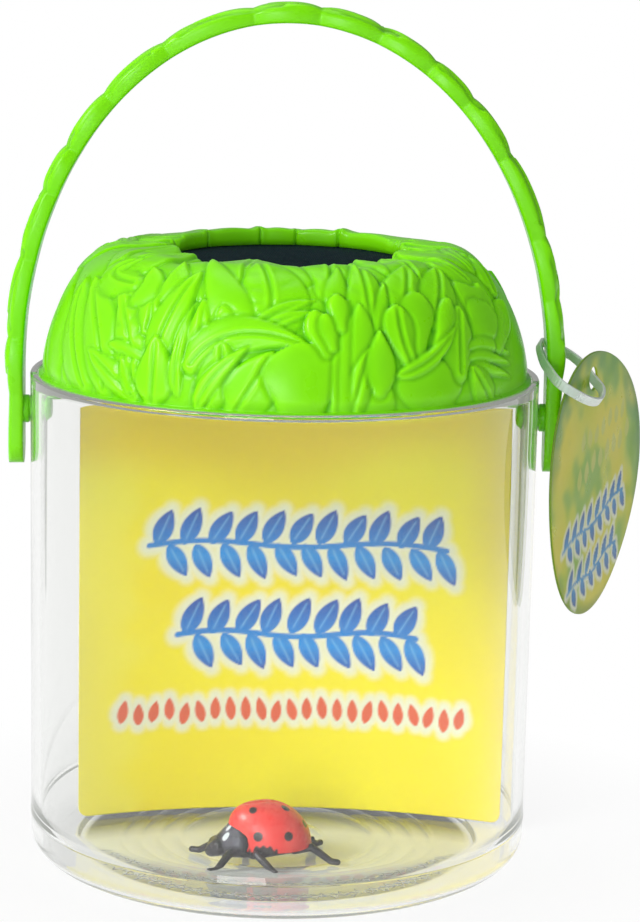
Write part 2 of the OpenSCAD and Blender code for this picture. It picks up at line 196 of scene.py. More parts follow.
set_world()
add_lamp("key_light", (-0.95, -0.7, 0.85), 0.12, 0.45, 0.5)
add_lamp("card_light", (-0.35, -1.3, 0.22), 0.09, 0.5, 0.26)
add_lamp("fill_light", (0.9, -0.75, 0.5), 0.12, 0.8, 0.02)
add_lamp("top_light", (-0.1, 0.25, 1.1), 0.12, 0.6, 0.14)


def mesh_object(name, points, faces, smooth=True):
    """Mesh object from points in millimetres."""
    mesh = bpy.data.meshes.new(name)
    mesh.from_pydata((np.asarray(points, float) * MM).tolist(), [], faces)
    mesh.update()
    mesh.shade_smooth() if smooth else mesh.shade_flat()
    return add_object(name, mesh)


def empty_material(name):
    made = bpy.data.materials.new(name)
    made.use_nodes = True
    made.node_tree.nodes.clear()
    return made, made.node_tree


def lay_floor():
    """Pale floor, white to the eye round the jar. Under the jar's floor it keeps the lamps' shade and has
    painted shadow too: an arc along the foot of the card, and a fainter one behind the front wall."""
    floor = mesh_object("floor", [(x * FLOOR_HALF, y * FLOOR_HALF, -FLOOR_DROP)
        for x, y in ((-1, -1), (1, -1), (1, 1), (-1, 1))], [(0, 1, 2, 3)], False)
    made, tree = empty_material("white_floor")
    place = field(tree, "TexCoord", out="Object")
    away = length_of(place)
    outside = ramp(away, 0.0487, 0.0505)
    from_card = length_of(field(tree, "VectorMath", {0: place, 1: (-0.00345, 0.1207, 0)}))
    # Painted shadow of the card, in an arc along its foot
    painted_card_shadow = ramp(from_card, 0.126, 0.1375) * ramp(from_card, 0.152, 0.168, 1, 0)
    # Painted shade behind the front wall, darker towards the front
    front = ramp(away, 0.03, 0.048, 0, 0.62) * ramp(parts_of(place)[1], -0.036, -0.012, 1, 0)
    shade = painted_card_shadow.most(front) * (1 - outside)
    # The painted shade darkens the floor's colour
    light = 0.88 - shade * 0.8
    grey = field(tree, "CombineColor", {0: light, 1: light, 2: light})
    lit = field(tree, "BsdfDiffuse", {"Color": grey})
    white = field(tree, "Emission", {"Color": (1, 1, 1, 1), "Strength": 1})
    fade = (1 - shade) * 0.12 + outside * ramp(away, 0.066, 0.13, 0.76, 0.88)
    mixed = field(tree, "MixShader", {0: seen_directly(light_path(tree)) * fade,
        1: lit, 2: white})
    node(tree, "OutputMaterial", {0: mixed})
    floor.data.materials.append(made)


# Finishes

def finish(name, **values):
    """Material with one Principled shader, and its tree, shader and output. Values are plain numbers
    or colours by socket name."""
    made, tree = empty_material(name)
    shader = node(tree, "BsdfPrincipled",
        {socket.replace("_", " "): value for socket, value in values.items()})
    return made, tree, shader, node(tree, "OutputMaterial", {0: Field(shader.outputs[0])})


def grain(tree, scale, detail=2, stretch=None):
    """Noise in the piece's own place, in bumps a metre."""
    place = field(tree, "TexCoord", out="Object")
    if stretch:
        place = field(tree, "Mapping", {"Vector": place, "Scale": stretch})
    return field(tree, "TexNoise", {"Vector": place, "Scale": scale, "Detail": detail,
        "Roughness": 0.5}, "Fac")


def blended(share, a, b):
    """Colour between two, by a share. The node's colours go in at places 6 and 7 and out at 2."""
    return field(share.socket.id_data, "Mix", {0: share, 6: a, 7: b}, 2, data_type="RGBA")


def connect(value, made, socket):
    made.id_data.links.new(value.socket, made.inputs[socket])


def bump(shader, height, distance, strength, **under):
    made = field(shader.id_data, "Bump", {"Height": height, "Distance": distance,
        "Strength": strength, **under})
    connect(made, shader, "Normal")
    return made


def grained(name, base, tint, cloud, gloss, fine=None, **values):
    """Material in a base colour, clouded with a tint, with an uneven gloss and a fine grain. Base is
    a colour or a function that makes it from the tree. Cloud and gloss give the scale and detail of
    a noise, and the levels that it runs between and to; fine gives its scale, depth and strength."""
    made, tree, shader, _ = finish(name, **values)
    base = base(tree) if callable(base) else base
    connect(blended(ramp(grain(tree, *cloud[:2]), *cloud[2:]), base, tint), shader, "Base Color")
    connect(ramp(grain(tree, *gloss[:2]), *gloss[2:]), shader, "Roughness")
    if fine:
        bump(shader, grain(tree, *fine[:2]), *fine[2:])
    return made


def stored(tree, name, out):
    """What is stored on the piece's points under a name."""
    return field(tree, "Attribute", out=out, attribute_name=name)


def painted(tree):
    return stored(tree, "paint", "Color")


def lime_with_painted_shade(tree):
    """Lime colour with painted light and shade: deeper and greener where the stored painted light is low,
    in the creases of the moulding, and lighter where it is high, on its ridges.
    """
    return blended(ramp(stored(tree, "relief", "Fac"), 0, 1), (0.06, 0.42, 0, 1), (0.3, 1, 0, 1))


def printed_card(name, gloss_low, gloss_high):
    """Coated card: printed colours under a thin, slightly uneven gloss, with a faint paper grain."""
    return grained(name, painted, (0.5, 0.42, 0.02, 1), (900, 3, 0.35, 0.75, 0, 0.08),
        (120, 4, 0.3, 0.7, gloss_low, gloss_high), (1100, 3, 0.00003, 0.3), Specular_IOR_Level=0.22)


def toy_rubber(name, cloudy, gloss_low, gloss_high):
    """Soft toy rubber in painted colours, with a faint cloudiness in its gloss."""
    return grained(name, painted, (0.6, 0.5, 0.48, 1), (260, 3, 0.3, 0.7, 0, cloudy),
        (420, 3, 0.3, 0.7, gloss_low, gloss_high), (900, 3, 0.00005, 0.35), Subsurface_Weight=0.08,
        Subsurface_Scale=0.001, Subsurface_Radius=(1, 0.3, 0.2), Coat_Weight=0.12, Coat_Roughness=0.2)


def clear_moulding():
    """Clear moulded plastic that lets the lamps through to what it holds. Where light has been thrown
    about inside it many times, it glows a faint grey of its own, a painted haze. Rough zigzag ribs
    run round the front of its floor."""
    made, tree, shader, out = finish("clear_plastic", Base_Color=(0.925, 0.93, 0.92, 1),
        Transmission_Weight=1, IOR=1.49, Emission_Color=(0.11, 0.115, 0.105, 1))
    made.cycles.emission_sampling = "NONE"
    connect(ramp(grain(tree, 60, 3), 0.35, 0.7, 0, 0.03), shader, "Roughness")
    wavy = bump(shader, grain(tree, 26, 1.5, (1, 1, 0.45)), 0.00025, 0.2)
    x, y, z = parts_of(field(tree, "TexCoord", out="Object"))
    turn = x.reckon("ARCTAN2", x, y * -1)
    away = (x * x + y * y).root()
    uneven = grain(tree, 220, 2)
    zigzag = x.reckon("PINGPONG", turn * 21 + uneven * 1.6, 1)
    ribs = None
    for start, reach in ((0.0443, 0.0042), (0.0478, -0.0015)):
        rib_r = start + (zigzag + uneven * 0.35) * reach
        rib = ramp(abs(away - rib_r), 0.0001, 0.0007, 1, 0)
        ribs = ribs.most(rib) if ribs else rib
    front = ramp(abs(turn), 0.9, 1.2, 1, 0) * ((z > 0.0012) * (z < 0.0026))
    bump(shader, ribs * front, 0.0005, 1, Normal=wavy)
    path = light_path(tree)
    # Painted glow: on deep bounces the plastic gives off faint grey light of its own, in its emission
    # colour
    painted_glow = (path["Glossy Depth"] > 2.5).most(path["Transmission Depth"] > 6.5)
    connect(painted_glow, shader, "Emission Strength")
    through = field(tree, "BsdfTransparent", {"Color": (0.93, 0.94, 0.935, 1)})
    connect(field(tree, "MixShader", {0: path["Is Shadow Ray"], 1: Field(shader.outputs[0]), 2: through}),
        out, 0)
    return made


# Forms

def ease(x, start=0, width=1):
    """Smooth step from 0 at a start up to 1 a width further on, or back if the width is negative."""
    f = np.clip((x - start) / width, 0, 1)
    return f * f * (3 - 2 * f)


def turn_of(count):
    """Angles of count points round a ring."""
    return np.linspace(0, 2 * pi, count, endpoint=False)


def unit(v):
    return v / np.linalg.norm(v, axis=1, keepdims=True)


def round_axis(r, a, z):
    """Places round the jar's axis, at angles from the front."""
    return np.stack([r * np.sin(a), -r * np.cos(a), z + 0 * a], -1)


def round_pivot(r, x, side=1):
    """Ring of places round the handle's pivot axis."""
    a = turn_of(PIVOT_COUNT)
    return np.stack([side * x + 0 * a, r * np.cos(a) * side, PIVOT_Z + r * np.sin(a)], 1)


def ring_faces(rows, count, closed_rows=False):
    """Faces of rows of rings of count points, facing outwards for rows that go up. With closed rows
    the last ring joins the first."""
    return [(i * count + j, i * count + (j + 1) % count, (i + 1) % rows * count + (j + 1) % count,
        (i + 1) % rows * count + j) for i in range(rows if closed_rows else rows - 1) for j in range(count)]


def cap(pole, ring, count, upper):
    """Faces between a pole and the ring whose first point is given."""
    ends = [(ring + j, ring + (j + 1) % count) for j in range(count)]
    return [(pole, *end) if upper else (pole, *end[::-1]) for end in ends]


def body_faces(rows, count):
    """Faces of rows of rings that go up and end in a lower and an upper pole."""
    pole = rows * count
    return ring_faces(rows, count) + cap(pole, 0, count, False) + cap(pole + 1, pole - count, count, True)


def corner(centre, r, start, end, steps):
    """Points of an arc of a profile, in degrees."""
    angles = [radians(start + (end - start) * i / steps) for i in range(steps + 1)]
    return [(centre[0] + r * cos(a), centre[1] + r * sin(a)) for a in angles]


def bent_line(a, b, c, steps):
    """Places along a bent line from a by way of b to c."""
    f = np.linspace(0, 1, steps)[:, None]
    return (1 - f) ** 2 * a + 2 * f * (1 - f) * (2 * b - (a + c) / 2) + f * f * c


def length_along(line):
    """Length of a line so far, at each of its points."""
    return np.concatenate([[0], np.cumsum(np.linalg.norm(np.diff(line, axis=0), axis=1))])


def store(made, name, kind, values):
    """Stores values on the piece's points: one number each, or a colour."""
    layer = made.data.attributes.new(name, kind, "POINT")
    layer.data.foreach_set("value" if kind == "FLOAT" else "color", np.asarray(values, np.float32).ravel())


def dress(made, material, body, slot, *replaced):
    """Gives a piece its material, its body in the CAD and the nodes that it replaces. Its slot is not used.
    """
    made.data.materials.clear()
    made.data.materials.append(material)
    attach(made, body)
    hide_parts(*replaced)


def applied(made):
    """The object with its modifiers made part of its mesh."""
    mesh = bpy.data.meshes.new_from_object(made.evaluated_get(bpy.context.evaluated_depsgraph_get()))
    made.modifiers.clear()
    made.data = mesh
    return made


lay_floor()
# Lime plastic, its colour carrying painted shade in creases and painted light on ridges
LIME = grained("lime_plastic", lime_with_painted_shade, (0.17, 0.72, 0, 1), (22, 2, 0.35, 0.65, 0, 0.18),
    (160, 3, 0.3, 0.7, 0.25, 0.37), (700, 2, 0.00003, 0.25), Specular_IOR_Level=0.32)
CLEAR = clear_moulding()
NYLON = grained("milky_nylon", (0.66, 0.8, 0.72, 1), (0.84, 0.9, 0.86, 1), (180, 2, 0.3, 0.7),
    (500, 2, 0.3, 0.7, 0.28, 0.45), (1500, 2, 0.00004, 0.3), Transmission_Weight=0.35, IOR=1.53,
    Subsurface_Weight=0.25, Subsurface_Scale=0.0015, Subsurface_Radius=(1, 1, 0.9))
NAVY = grained("navy_thread", (0, 0.008, 0.012, 1), (0.001, 0.022, 0.03, 1), (2500, 2, 0.3, 0.7),
    (700, 2, 0.3, 0.7, 0.5, 0.75), Specular_IOR_Level=0.16)
YELLOW_CARD = printed_card("yellow_print", 0.28, 0.42)
TAG_CARD = printed_card("green_print", 0.26, 0.4)
RED_TOY = toy_rubber("red_rubber", 0.06, 0.22, 0.38)
BLACK_TOY = toy_rubber("black_rubber", 0.03, 0.18, 0.34)

# Jar

JAR_COUNT, PIVOT_COUNT, PIVOT_Z = 360, 48, 112.2
HOLE_R, HOLE_NEAR, HOLE_FAR = 2.5, 56, 70
FLOOR_RINGS = (40, 35.4, 30.2, 25.2, 12)


def jar_profile():
    """Places (radius, height) of the jar's skin, out along its underside, up, and down inside."""
    profile = [(0, 0.25), (20, 0.2), (49, 0.1), (50.5, 0), (57.2, 0)]
    profile += corner((57.2, 5.9), 5.9, -88, 0, 14)
    profile += [(63.11, 9.5), (63.12, 9.8), (63.26, 10), (63.12, 10.2)]
    profile += [(63.13, 14), (63.3, 60), (63.42, 100), (63.5, 121.6)]
    profile += corner((62.8, 122), 0.7, 10, 90, 6) + corner((62.1, 122.3), 0.4, 90, 180, 3)
    profile += [(61.7, 122), (61.7, 121.6), (61.5, 121.3), (61.15, 121.2), (61, 120.9)]
    profile += [(60.98, 119.5), (60.9, 60), (60.62, 14)] + corner((58.4, 4.4), 2.2, 0, -90, 10)
    profile += [(52.2, 2.2), (51.2, 2.15), (50.7, 1.85), (50, 1.8), (41, 1.8)]
    for r in FLOOR_RINGS:
        profile += [(r + 0.7, 1.8), (r + 0.3, 1.86), (r - 0.1, 1.87), (r - 0.5, 1.8)]
    return profile + [(0, 1.8)]


def make_jar():
    """Clear jar: thick floor with moulded rings, rounded foot, wall, inner ledge and thin rim, with
    a hole through each side for the handle's pivots."""
    (_, low), *profile, (_, high) = jar_profile()
    rings = [round_axis(r, turn_of(JAR_COUNT), z) for r, z in profile]
    jar = mesh_object("jar_shell", np.concatenate(rings + [[(0, 0, low), (0, 0, high)]]),
        body_faces(len(rings), JAR_COUNT))
    for ends in ((-HOLE_FAR, -HOLE_NEAR), (HOLE_NEAR, HOLE_FAR)):
        first, second = range(PIVOT_COUNT), range(PIVOT_COUNT, 2 * PIVOT_COUNT)
        drill = mesh_object("drill", np.concatenate([round_pivot(HOLE_R, x) for x in ends]),
            ring_faces(2, PIVOT_COUNT) + [tuple(first[::-1]), tuple(second)])
        cut = jar.modifiers.new("hole", "BOOLEAN")
        cut.operation, cut.solver, cut.object = "DIFFERENCE", "EXACT", drill
        applied(jar)
        bpy.data.objects.remove(drill)
    dress(jar, CLEAR, "jar", "clear_plastic", "jar_body")


make_jar()

# Lid

LID_COUNT, LID_ROWS, LIP_ROWS = 760, 90, 18
CREST_R, FOOT_R, FOOT_Z, RISE, DOME_POWER = 39.5, 59.82, 123, 30.2, 1.25
VENT_R, MESH_Z = 29.6, 151.2

# Rings (radius, height) of the skirt inside the rim, going up, and of the collar and the hollow
# under the dome, going down; insets and drops of the rounded edge of the lip between them
SKIRT = [(59, 121.5), (61.2, 121.5), (61.4, 121.7), (61.4, 122.6), (61.2, 122.85)]
COLLAR = [(37.8, MESH_Z), (37.8, 148.4), (39.2, 148.4), (39.2, 149.2), (44.5, 149), (53, 141.5),
    (57, 132), (58.2, 123)]
LIP_EDGE = [(0.45, 0.08), (0.85, 0.35), (1.1, 0.8), (1.2, 1.3)]

DOME_TURN = np.radians(np.linspace(0, 90, 361))


def dome_r(t):
    return CREST_R + (FOOT_R - CREST_R) * np.cos(t)


def dome_rise(t):
    return RISE * np.sin(t) ** DOME_POWER


DOME_SLANT = length_along(np.stack([dome_r(DOME_TURN), dome_rise(DOME_TURN)], 1))
SLANT = DOME_SLANT[-1]


def on_dome(azimuth, rise):
    """Places on the plain dome at an azimuth from the front, in degrees, and a rise along its slant.
    Past the crest they go on level towards the vent."""
    t = np.interp(rise, DOME_SLANT, DOME_TURN)
    return round_axis(dome_r(t) - np.clip(rise - SLANT, 0, None), np.radians(azimuth),
        FOOT_Z + dome_rise(t) - np.clip(-rise, 0, None))


# Leaves of the lid's front, lowest first: shape, three places along the midrib (azimuth, rise),
# half width, height at foot and tip, and, where they aren't 0, depth of midrib, number of side
# veins and their depth
LID_LEAVES = [
    ("leaf", -66.9, 1.5, -75.9, 13.8, -85.7, 27.4, 6.86, 0.2, 0.7),
    ("leaf", -52.2, 1.4, -61.6, 13.8, -69.8, 26.5, 5.79, 0.3, 0.8, 1),
    ("leaf", -44.9, 1.8, -50.9, 15.2, -65.1, 27.6, 5.76, 0.4, 0.9, 1),
    ("leaf", -38.1, 8.6, -37.9, 18.9, -55.1, 28.5, 5.62, 0.4, 1, 1, 6, 0.35),
    ("leaf", -37.4, 2.4, -39, 13.5, -49.1, 26.3, 4.81, 0.4, 1, 1, 7, 0.4),
    ("leaf", -35.7, 1, -43.7, 5.9, -52.5, 10.2, 3.08, 0.5, 0.9, 1),
    ("lobe", -33.8, 9.7, -39.3, 11.6, -45.2, 12.3, 1.5, 0.6, 1),
    ("blade", -36.9, 1.1, -38.8, 5.9, -40.8, 10.6, 1.57, 0.5, 0.9),
    ("leaf", -35, 17.1, -35.9, 24.2, -39.1, 31.5, 3.6, 0.5, 1.1, 1),
    ("leaf", -41.9, 23.6, -40, 28.2, -42.6, 33.2, 3.87, 0.5, 1.1),
    ("leaf", -45.9, 27.9, -56.9, 29.7, -50.8, 35.2, 4.9, 0.5, 1.1, 1),
    ("leaf", -29.4, 22.6, -31.5, 29, -33.7, 36.6, 3.64, 0.6, 1.2),
    ("leaf", -31.2, 10.7, -29.1, 21.5, -25.1, 33.5, 4.16, 0.6, 1.3, 1),
    ("leaf", -30.6, 0.6, -30.6, 7.7, -31.7, 16, 4.67, 0.8, 1.2, 1),
    ("leaf", -22.1, 11.5, -20.4, 18.3, -21.6, 25.8, 3.5, 0.6, 1.2, 1),
    ("blade", -24.2, 1.8, -25.3, 11.5, -23.7, 24.9, 1.61, 0.7, 1.2, 1),
    ("leaf", -5.1, 19.1, -4, 28.6, -10, 40.5, 7.86, 0.4, 1.2, 1, 5, 0.25),
    ("leaf", -13.5, 17.4, -15.4, 25.8, -27.1, 40.1, 4.69, 0.6, 1.4),
    ("lobe", -13.7, 16.3, -14.4, 19.7, -16.1, 23.9, 2.18, 0.7, 1.1),
    ("blade", -8.2, 19, -1.6, 23.4, 7.6, 26.4, 1.74, 0.6, 1.1, 1),
    ("blade", -6.1, 18, -0.8, 21.3, 7.4, 23.5, 1.52, 0.7, 1.2, 1),
    ("leaf", -21.6, 9.9, -10.8, 17.5, 6.6, 14.6, 4.53, 0.7, 1, 1),
    ("leaf", -17.7, 0.7, -14.6, 9.3, -15.3, 15.6, 4.49, 0.5, 0.9, 1),
    ("leaf", -10.6, 0.2, -6.7, 6.8, -2.8, 13.8, 5.44, 0.6, 1, 1),
    ("leaf", -19.3, 0.6, -15.5, 7.7, -8.2, 14.8, 2.22, 0.8, 1.2, 1),
    ("lobe", 3.4, -2.3, 3.6, 7.1, 2.7, 15.5, 8.13, 0.8, 1.2),
    ("leaf", 13.9, 23.4, 13.7, 28.8, 16.1, 36.6, 2.82, 0.5, 1.1),
    ("leaf", 30.1, 20, 33.5, 27.2, 40.2, 36, 5.96, 0.5, 1.2, 1, 4, 0.2),
    ("leaf", 39.8, 20.1, 45.2, 27.1, 51.7, 34.2, 5.22, 0.5, 1.1, 1),
    ("leaf", 21.4, 17.7, 21.5, 26.6, 24, 40.5, 4.71, 0.6, 1.4, 1, 5, 0.2),
    ("blade", 21.7, 18.3, 25, 24.6, 28.1, 31.4, 1.67, 0.7, 1.2),
    ("leaf", 19.4, -1.9, 21, 2.9, 22.4, 8.3, 4.65, 0.4, 0.8),
    ("leaf", 14.7, 9.9, 17.8, 17.8, 18.6, 25.2, 3.62, 0.6, 1.2),
    ("leaf", 14.7, -1.1, 16.6, 6.3, 19.7, 14.7, 3.01, 0.7, 1.1, 1),
    ("leaf", 21.4, 4.5, 22.2, 11.6, 22.7, 18.5, 3.53, 0.8, 1.3),
    ("lobe", 36.1, -2.5, 35.4, 4.2, 35.1, 10.7, 9.01, 0.5, 0.9),
    ("leaf", 43.7, 7.4, 45.6, 15.4, 49.3, 22.9, 5.17, 0.6, 1.1, 1),
    ("lobe", 32.3, 12.7, 34, 20.5, 37.3, 26.8, 4.16, 0.7, 1.3),
    ("lobe", 29.6, 11.2, 28.2, 17.3, 28.8, 24.2, 3.66, 0.8, 1.4, 1),
    ("lobe", 38, 14, 42.2, 19.1, 46.2, 24.9, 2.53, 0.9, 1.3),
    ("blade", 25.5, 7.8, 35.2, 11, 45.7, 18.5, 2.03, 0.9, 1.4, 1),
    ("lobe", 56.2, 18.5, 58.7, 23.1, 63.5, 27.3, 6.68, 0.5, 1.2),
    ("lobe", 53.5, 11.8, 58.1, 17.2, 62.3, 21.5, 6.42, 0.6, 1.1),
    ("blade", 47.6, 12.4, 55.8, 12.5, 66.4, 8.7, 1.76, 0.7, 1.1),
    ("blade", 47, 10.1, 54.6, 9.7, 66.1, 6.3, 1.55, 0.7, 1.1),
    ("blade", 46.9, 7.7, 53.6, 7, 65, 3.4, 1.57, 0.7, 1.1),
    ("leaf", 54.4, -1.5, 50.6, 3.6, 47.3, 8.4, 3.96, 0.5, 1, 1),
    ("lobe", 61.1, 11.5, 68.8, 17, 73, 21.7, 3.66, 0.5, 1.1),
    ("leaf", 60.7, 29, 58.2, 35.4, 59, 41, 4.29, 0.6, 1.2, 1),
    ("leaf", 70.4, 31.1, 78.6, 38.2, 95, 39, 2.22, 0.6, 1.2, 1),
    ("leaf", 72.6, 24.1, 76, 28.4, 82.8, 34.7, 3.64, 0.6, 1.1, 1),
    ("stem", 11.4, -0.4, 12, 12.9, 13.3, 26.4, 1.26, 0.9, 1.3),
    ("stem", 13.3, -0.4, 13.7, 12.9, 15.9, 26.4, 1.27, 0.8, 1.2),
    ("lobe", 9.5, 13.6, 8.1, 17.9, 6.8, 23.5, 2.92, 0.9, 1.4),
    ("lobe", 10.9, 14.6, 10.2, 18.2, 9.5, 22.8, 2.28, 0.9, 1.4),
    ("lobe", 13.4, 19.2, 13.2, 23.4, 12.9, 27.4, 2.32, 1, 1.5),
]


def leaf_width(shape, f):
    """Half width of a leaf, as a share, along its length."""
    if shape == "blade":
        return np.sin(np.pi * np.clip(f, 0, 1) ** 0.75) ** 0.8
    if shape == "leaf":
        return np.sin(np.pi * np.clip(0.06 + 0.94 * f, 0, 1) ** 0.72) ** 0.75
    if shape == "lobe":
        g = np.clip((f - 0.62) / 0.38, 0, 1)
        return np.sqrt(1 - g * g) * (0.55 + 0.45 * ease(f / 0.6))
    g = np.clip((f - 0.9) / 0.1, 0, 1)
    return np.sqrt(1 - g * g) * (1.15 - 0.3 * f)


def press_leaf(height, points, upwards, midrib, near, shape, half, foot, tip, rib=0, veins=0,
        depth=0):
    """Lays one leaf over the heights of points of a surface, with its edge pressed into what is
    under it. Midrib is a line of places, and near picks the points it can reach."""
    p = points[near]
    nearest = ((p[:, None] - midrib[None]) ** 2).sum(-1).argmin(1)
    last = len(midrib) - 1
    found = []
    for step in (0, -1):
        j = np.clip(nearest + step, 0, last - 1)
        start, way = midrib[j], midrib[j + 1] - midrib[j]
        u = np.clip(((p - start) * way).sum(-1) / (way ** 2).sum(-1), 0, 1)
        off = p - (start + u[:, None] * way)
        found.append((np.linalg.norm(off, axis=1), (j + u) / last, off, way))
    closer = found[1][0] < found[0][0]
    away, f, off, way = (np.where(closer if v.ndim == 1 else closer[:, None], w, v) for v, w in zip(*found))
    side = np.sign((np.cross(way, off) * upwards[near]).sum(-1))
    width = half * leaf_width(shape, f)
    inside = width - away
    cover = ease(inside / 1.1 + 0.35)
    q = np.clip(away / np.maximum(width, 0.3), 0, 1)
    body = foot + (tip - foot) * f + 0.78 * np.clip(1 - q ** 2, 0, 1) ** 0.6 * min(1, half / 2.6)
    if rib:
        body -= rib * 0.4 * np.exp(-(away / 0.5) ** 2) * ease((1.02 - f) * 5)
        body += rib * 0.16 * np.exp(-((away - 1.1) / 0.5) ** 2)
    if veins:
        groove = np.abs(np.sin(np.pi * (f * veins - 0.55 * q * (side * 0.12 + 1)))) ** 6
        body -= 0.5 * depth * groove * ease(q * 4 - 0.5) * ease((1 - q) * 3)
    under = height[near]
    pressed = 0.26 * np.exp(-(np.clip(-inside, 0, None) / 0.55) ** 2) * (inside <= 0.4) * (1 - cover)
    height[near] = under * (1 - cover) + np.maximum(body, under * 0.25) * cover - pressed


def painted_shade_and_light(grid, wraps):
    """Levels of painted light and shade for a moulding, from how each point stands out from what is round
    it: about 0, painted shade, in its creases and 1, painted light, on its ridges. Its rows may go all
    round and join up."""
    reach, smeared = 3, grid
    for axis, mode in ((0, "clip"), (1, "wrap" if wraps else "clip")):
        n = grid.shape[axis]
        for _ in range(2):
            around = np.take(smeared, np.arange(-reach, n + reach), axis, mode=mode)
            sums = np.insert(np.cumsum(around, axis), 0, 0, axis)
            span = 2 * reach + 1
            smeared = (np.take(sums, np.arange(n) + span, axis) - np.take(sums, np.arange(n), axis)) / span
    return np.clip(0.7 + 0.85 * (grid - smeared), 0, 1)


# Tips of the leaves round the vent: azimuth of each notch, and the reach and height of the tip
# that follows it
VENT_TIPS = [
    (-166, 1.2, 0.7), (-136, 1.3, 0.6), (-108, 1.4, 0.3), (-92, 0.3, 0), (-77, 1.4, 0.5),
    (-58, 1, 0.7), (-38, 1.1, 1.2), (7, 1.5, -0.2), (25.5, 1.2, 1.2), (40, 0.4, 0.4),
    (56, 1.4, 0.4), (76, 0.2, 0.1), (92, 1.2, 0.4), (111, 1.3, 0.5), (154, 1.2, 0.5), (176, 1.2, 0.6)]
TIP_STARTS, TIP_REACH, TIP_HEIGHT = (np.array(v, float) for v in zip(*VENT_TIPS))
TIP_STARTS = np.append(TIP_STARTS, TIP_STARTS[0] + 360)

# Deep notches in the vent's edge: azimuth, half width in degrees and how far each cuts outwards
VENT_NOTCHES = [(-39, 3, 4.4), (25, 2.4, 1.4), (-77, 3, 1.2), (57, 3, 1), (-108, 3, 0.8), (92, 3, 1)]

# Knots where two leaves of the vent's back wall overlap: azimuth, height and half width in degrees
VENT_KNOTS = [(-166, 1.1, 2.6), (-136, 0.9, 3), (176, 0.5, 2), (153, 1.3, 3.2), (111, 0.9, 3)]


def degrees_off(azimuth, middle):
    return (azimuth - middle + 180) % 360 - 180


def crest_leaves():
    """Leaves over the dome's crest, each ending in one of the tips round the vent."""
    end = SLANT + CREST_R - VENT_R - 0.3
    tips = len(VENT_TIPS)
    for i in [*range(0, tips, 2), *range(1, tips, 2)]:
        middle, wide = (TIP_STARTS[i] + TIP_STARTS[i + 1]) / 2, radians(TIP_STARTS[i + 1] - TIP_STARTS[i])
        lean = 7 * (-1) ** i + 3 * ((i * 5) % 3 - 1)
        yield (("leaf", "lobe", "leaf")[i % 3], middle + lean, SLANT - 13 + 3 * (i % 3),
            middle + lean * 0.5, SLANT - 1, middle, end, wide * 19.5, 0.5 + 0.12 * (i % 2),
            1.05 + 0.2 * (i % 2), 1, 4 * (i % 2), 0.22)


def lid_relief(azimuth, rise):
    """Height of the moulded leaves at places on the dome."""
    points = on_dome(azimuth, rise)
    out = points * (1, 1, 0) + (0, 0, 30)
    height = np.full(len(azimuth), 0.75)
    leaves = [(leaf, (0,)) for leaf in crest_leaves()] + [(leaf, (0, 180)) for leaf in LID_LEAVES]
    for (shape, *numbers), sides in leaves:
        half = numbers[6] * 1.12
        for back in sides:
            line = bent_line(*(np.reshape(numbers[:6], (3, 2)) + (back, 0)), 25)
            reach = half + 3
            spread = np.ptp(line[:, 0]) / 2 + np.degrees(reach / 28)
            near = np.where((np.abs(degrees_off(azimuth, line[:, 0].mean())) < spread)
                & (rise > line[:, 1].min() - reach) & (rise < line[:, 1].max() + reach))[0]
            press_leaf(height, points, out, on_dome(*line.T), near, shape, half, *numbers[7:])
    return height


def notches(azimuth):
    """How deep in a notch places round the vent are, 0 to 1, and how far the notch cuts outwards."""
    shares = [np.exp(-(degrees_off(azimuth, middle) / wide) ** 4) for middle, wide, _ in VENT_NOTCHES]
    return np.max(shares, 0), np.max([share * out for share, (_, _, out) in zip(shares, VENT_NOTCHES)], 0)


def vent_tips(azimuth):
    """Reach inwards and height of the leaf tips round the vent, with a notch between each two."""
    turn = (azimuth - TIP_STARTS[0]) % 360 + TIP_STARTS[0]
    i = np.clip(np.searchsorted(TIP_STARTS, turn, side="right") - 1, 0, len(VENT_TIPS) - 1)
    f = (turn - TIP_STARTS[i]) / (TIP_STARTS[i + 1] - TIP_STARTS[i])
    arch = np.clip(np.sin(np.pi * np.clip(f * 1.02, 0, 1)), 0, 1) ** 0.4
    return (TIP_REACH[i] * arch * (1 - 0.25 * f) - 0.8 * (1 - arch) ** 2,
        (TIP_HEIGHT[i] + 0.35 * np.sin(np.pi * f)) * arch)


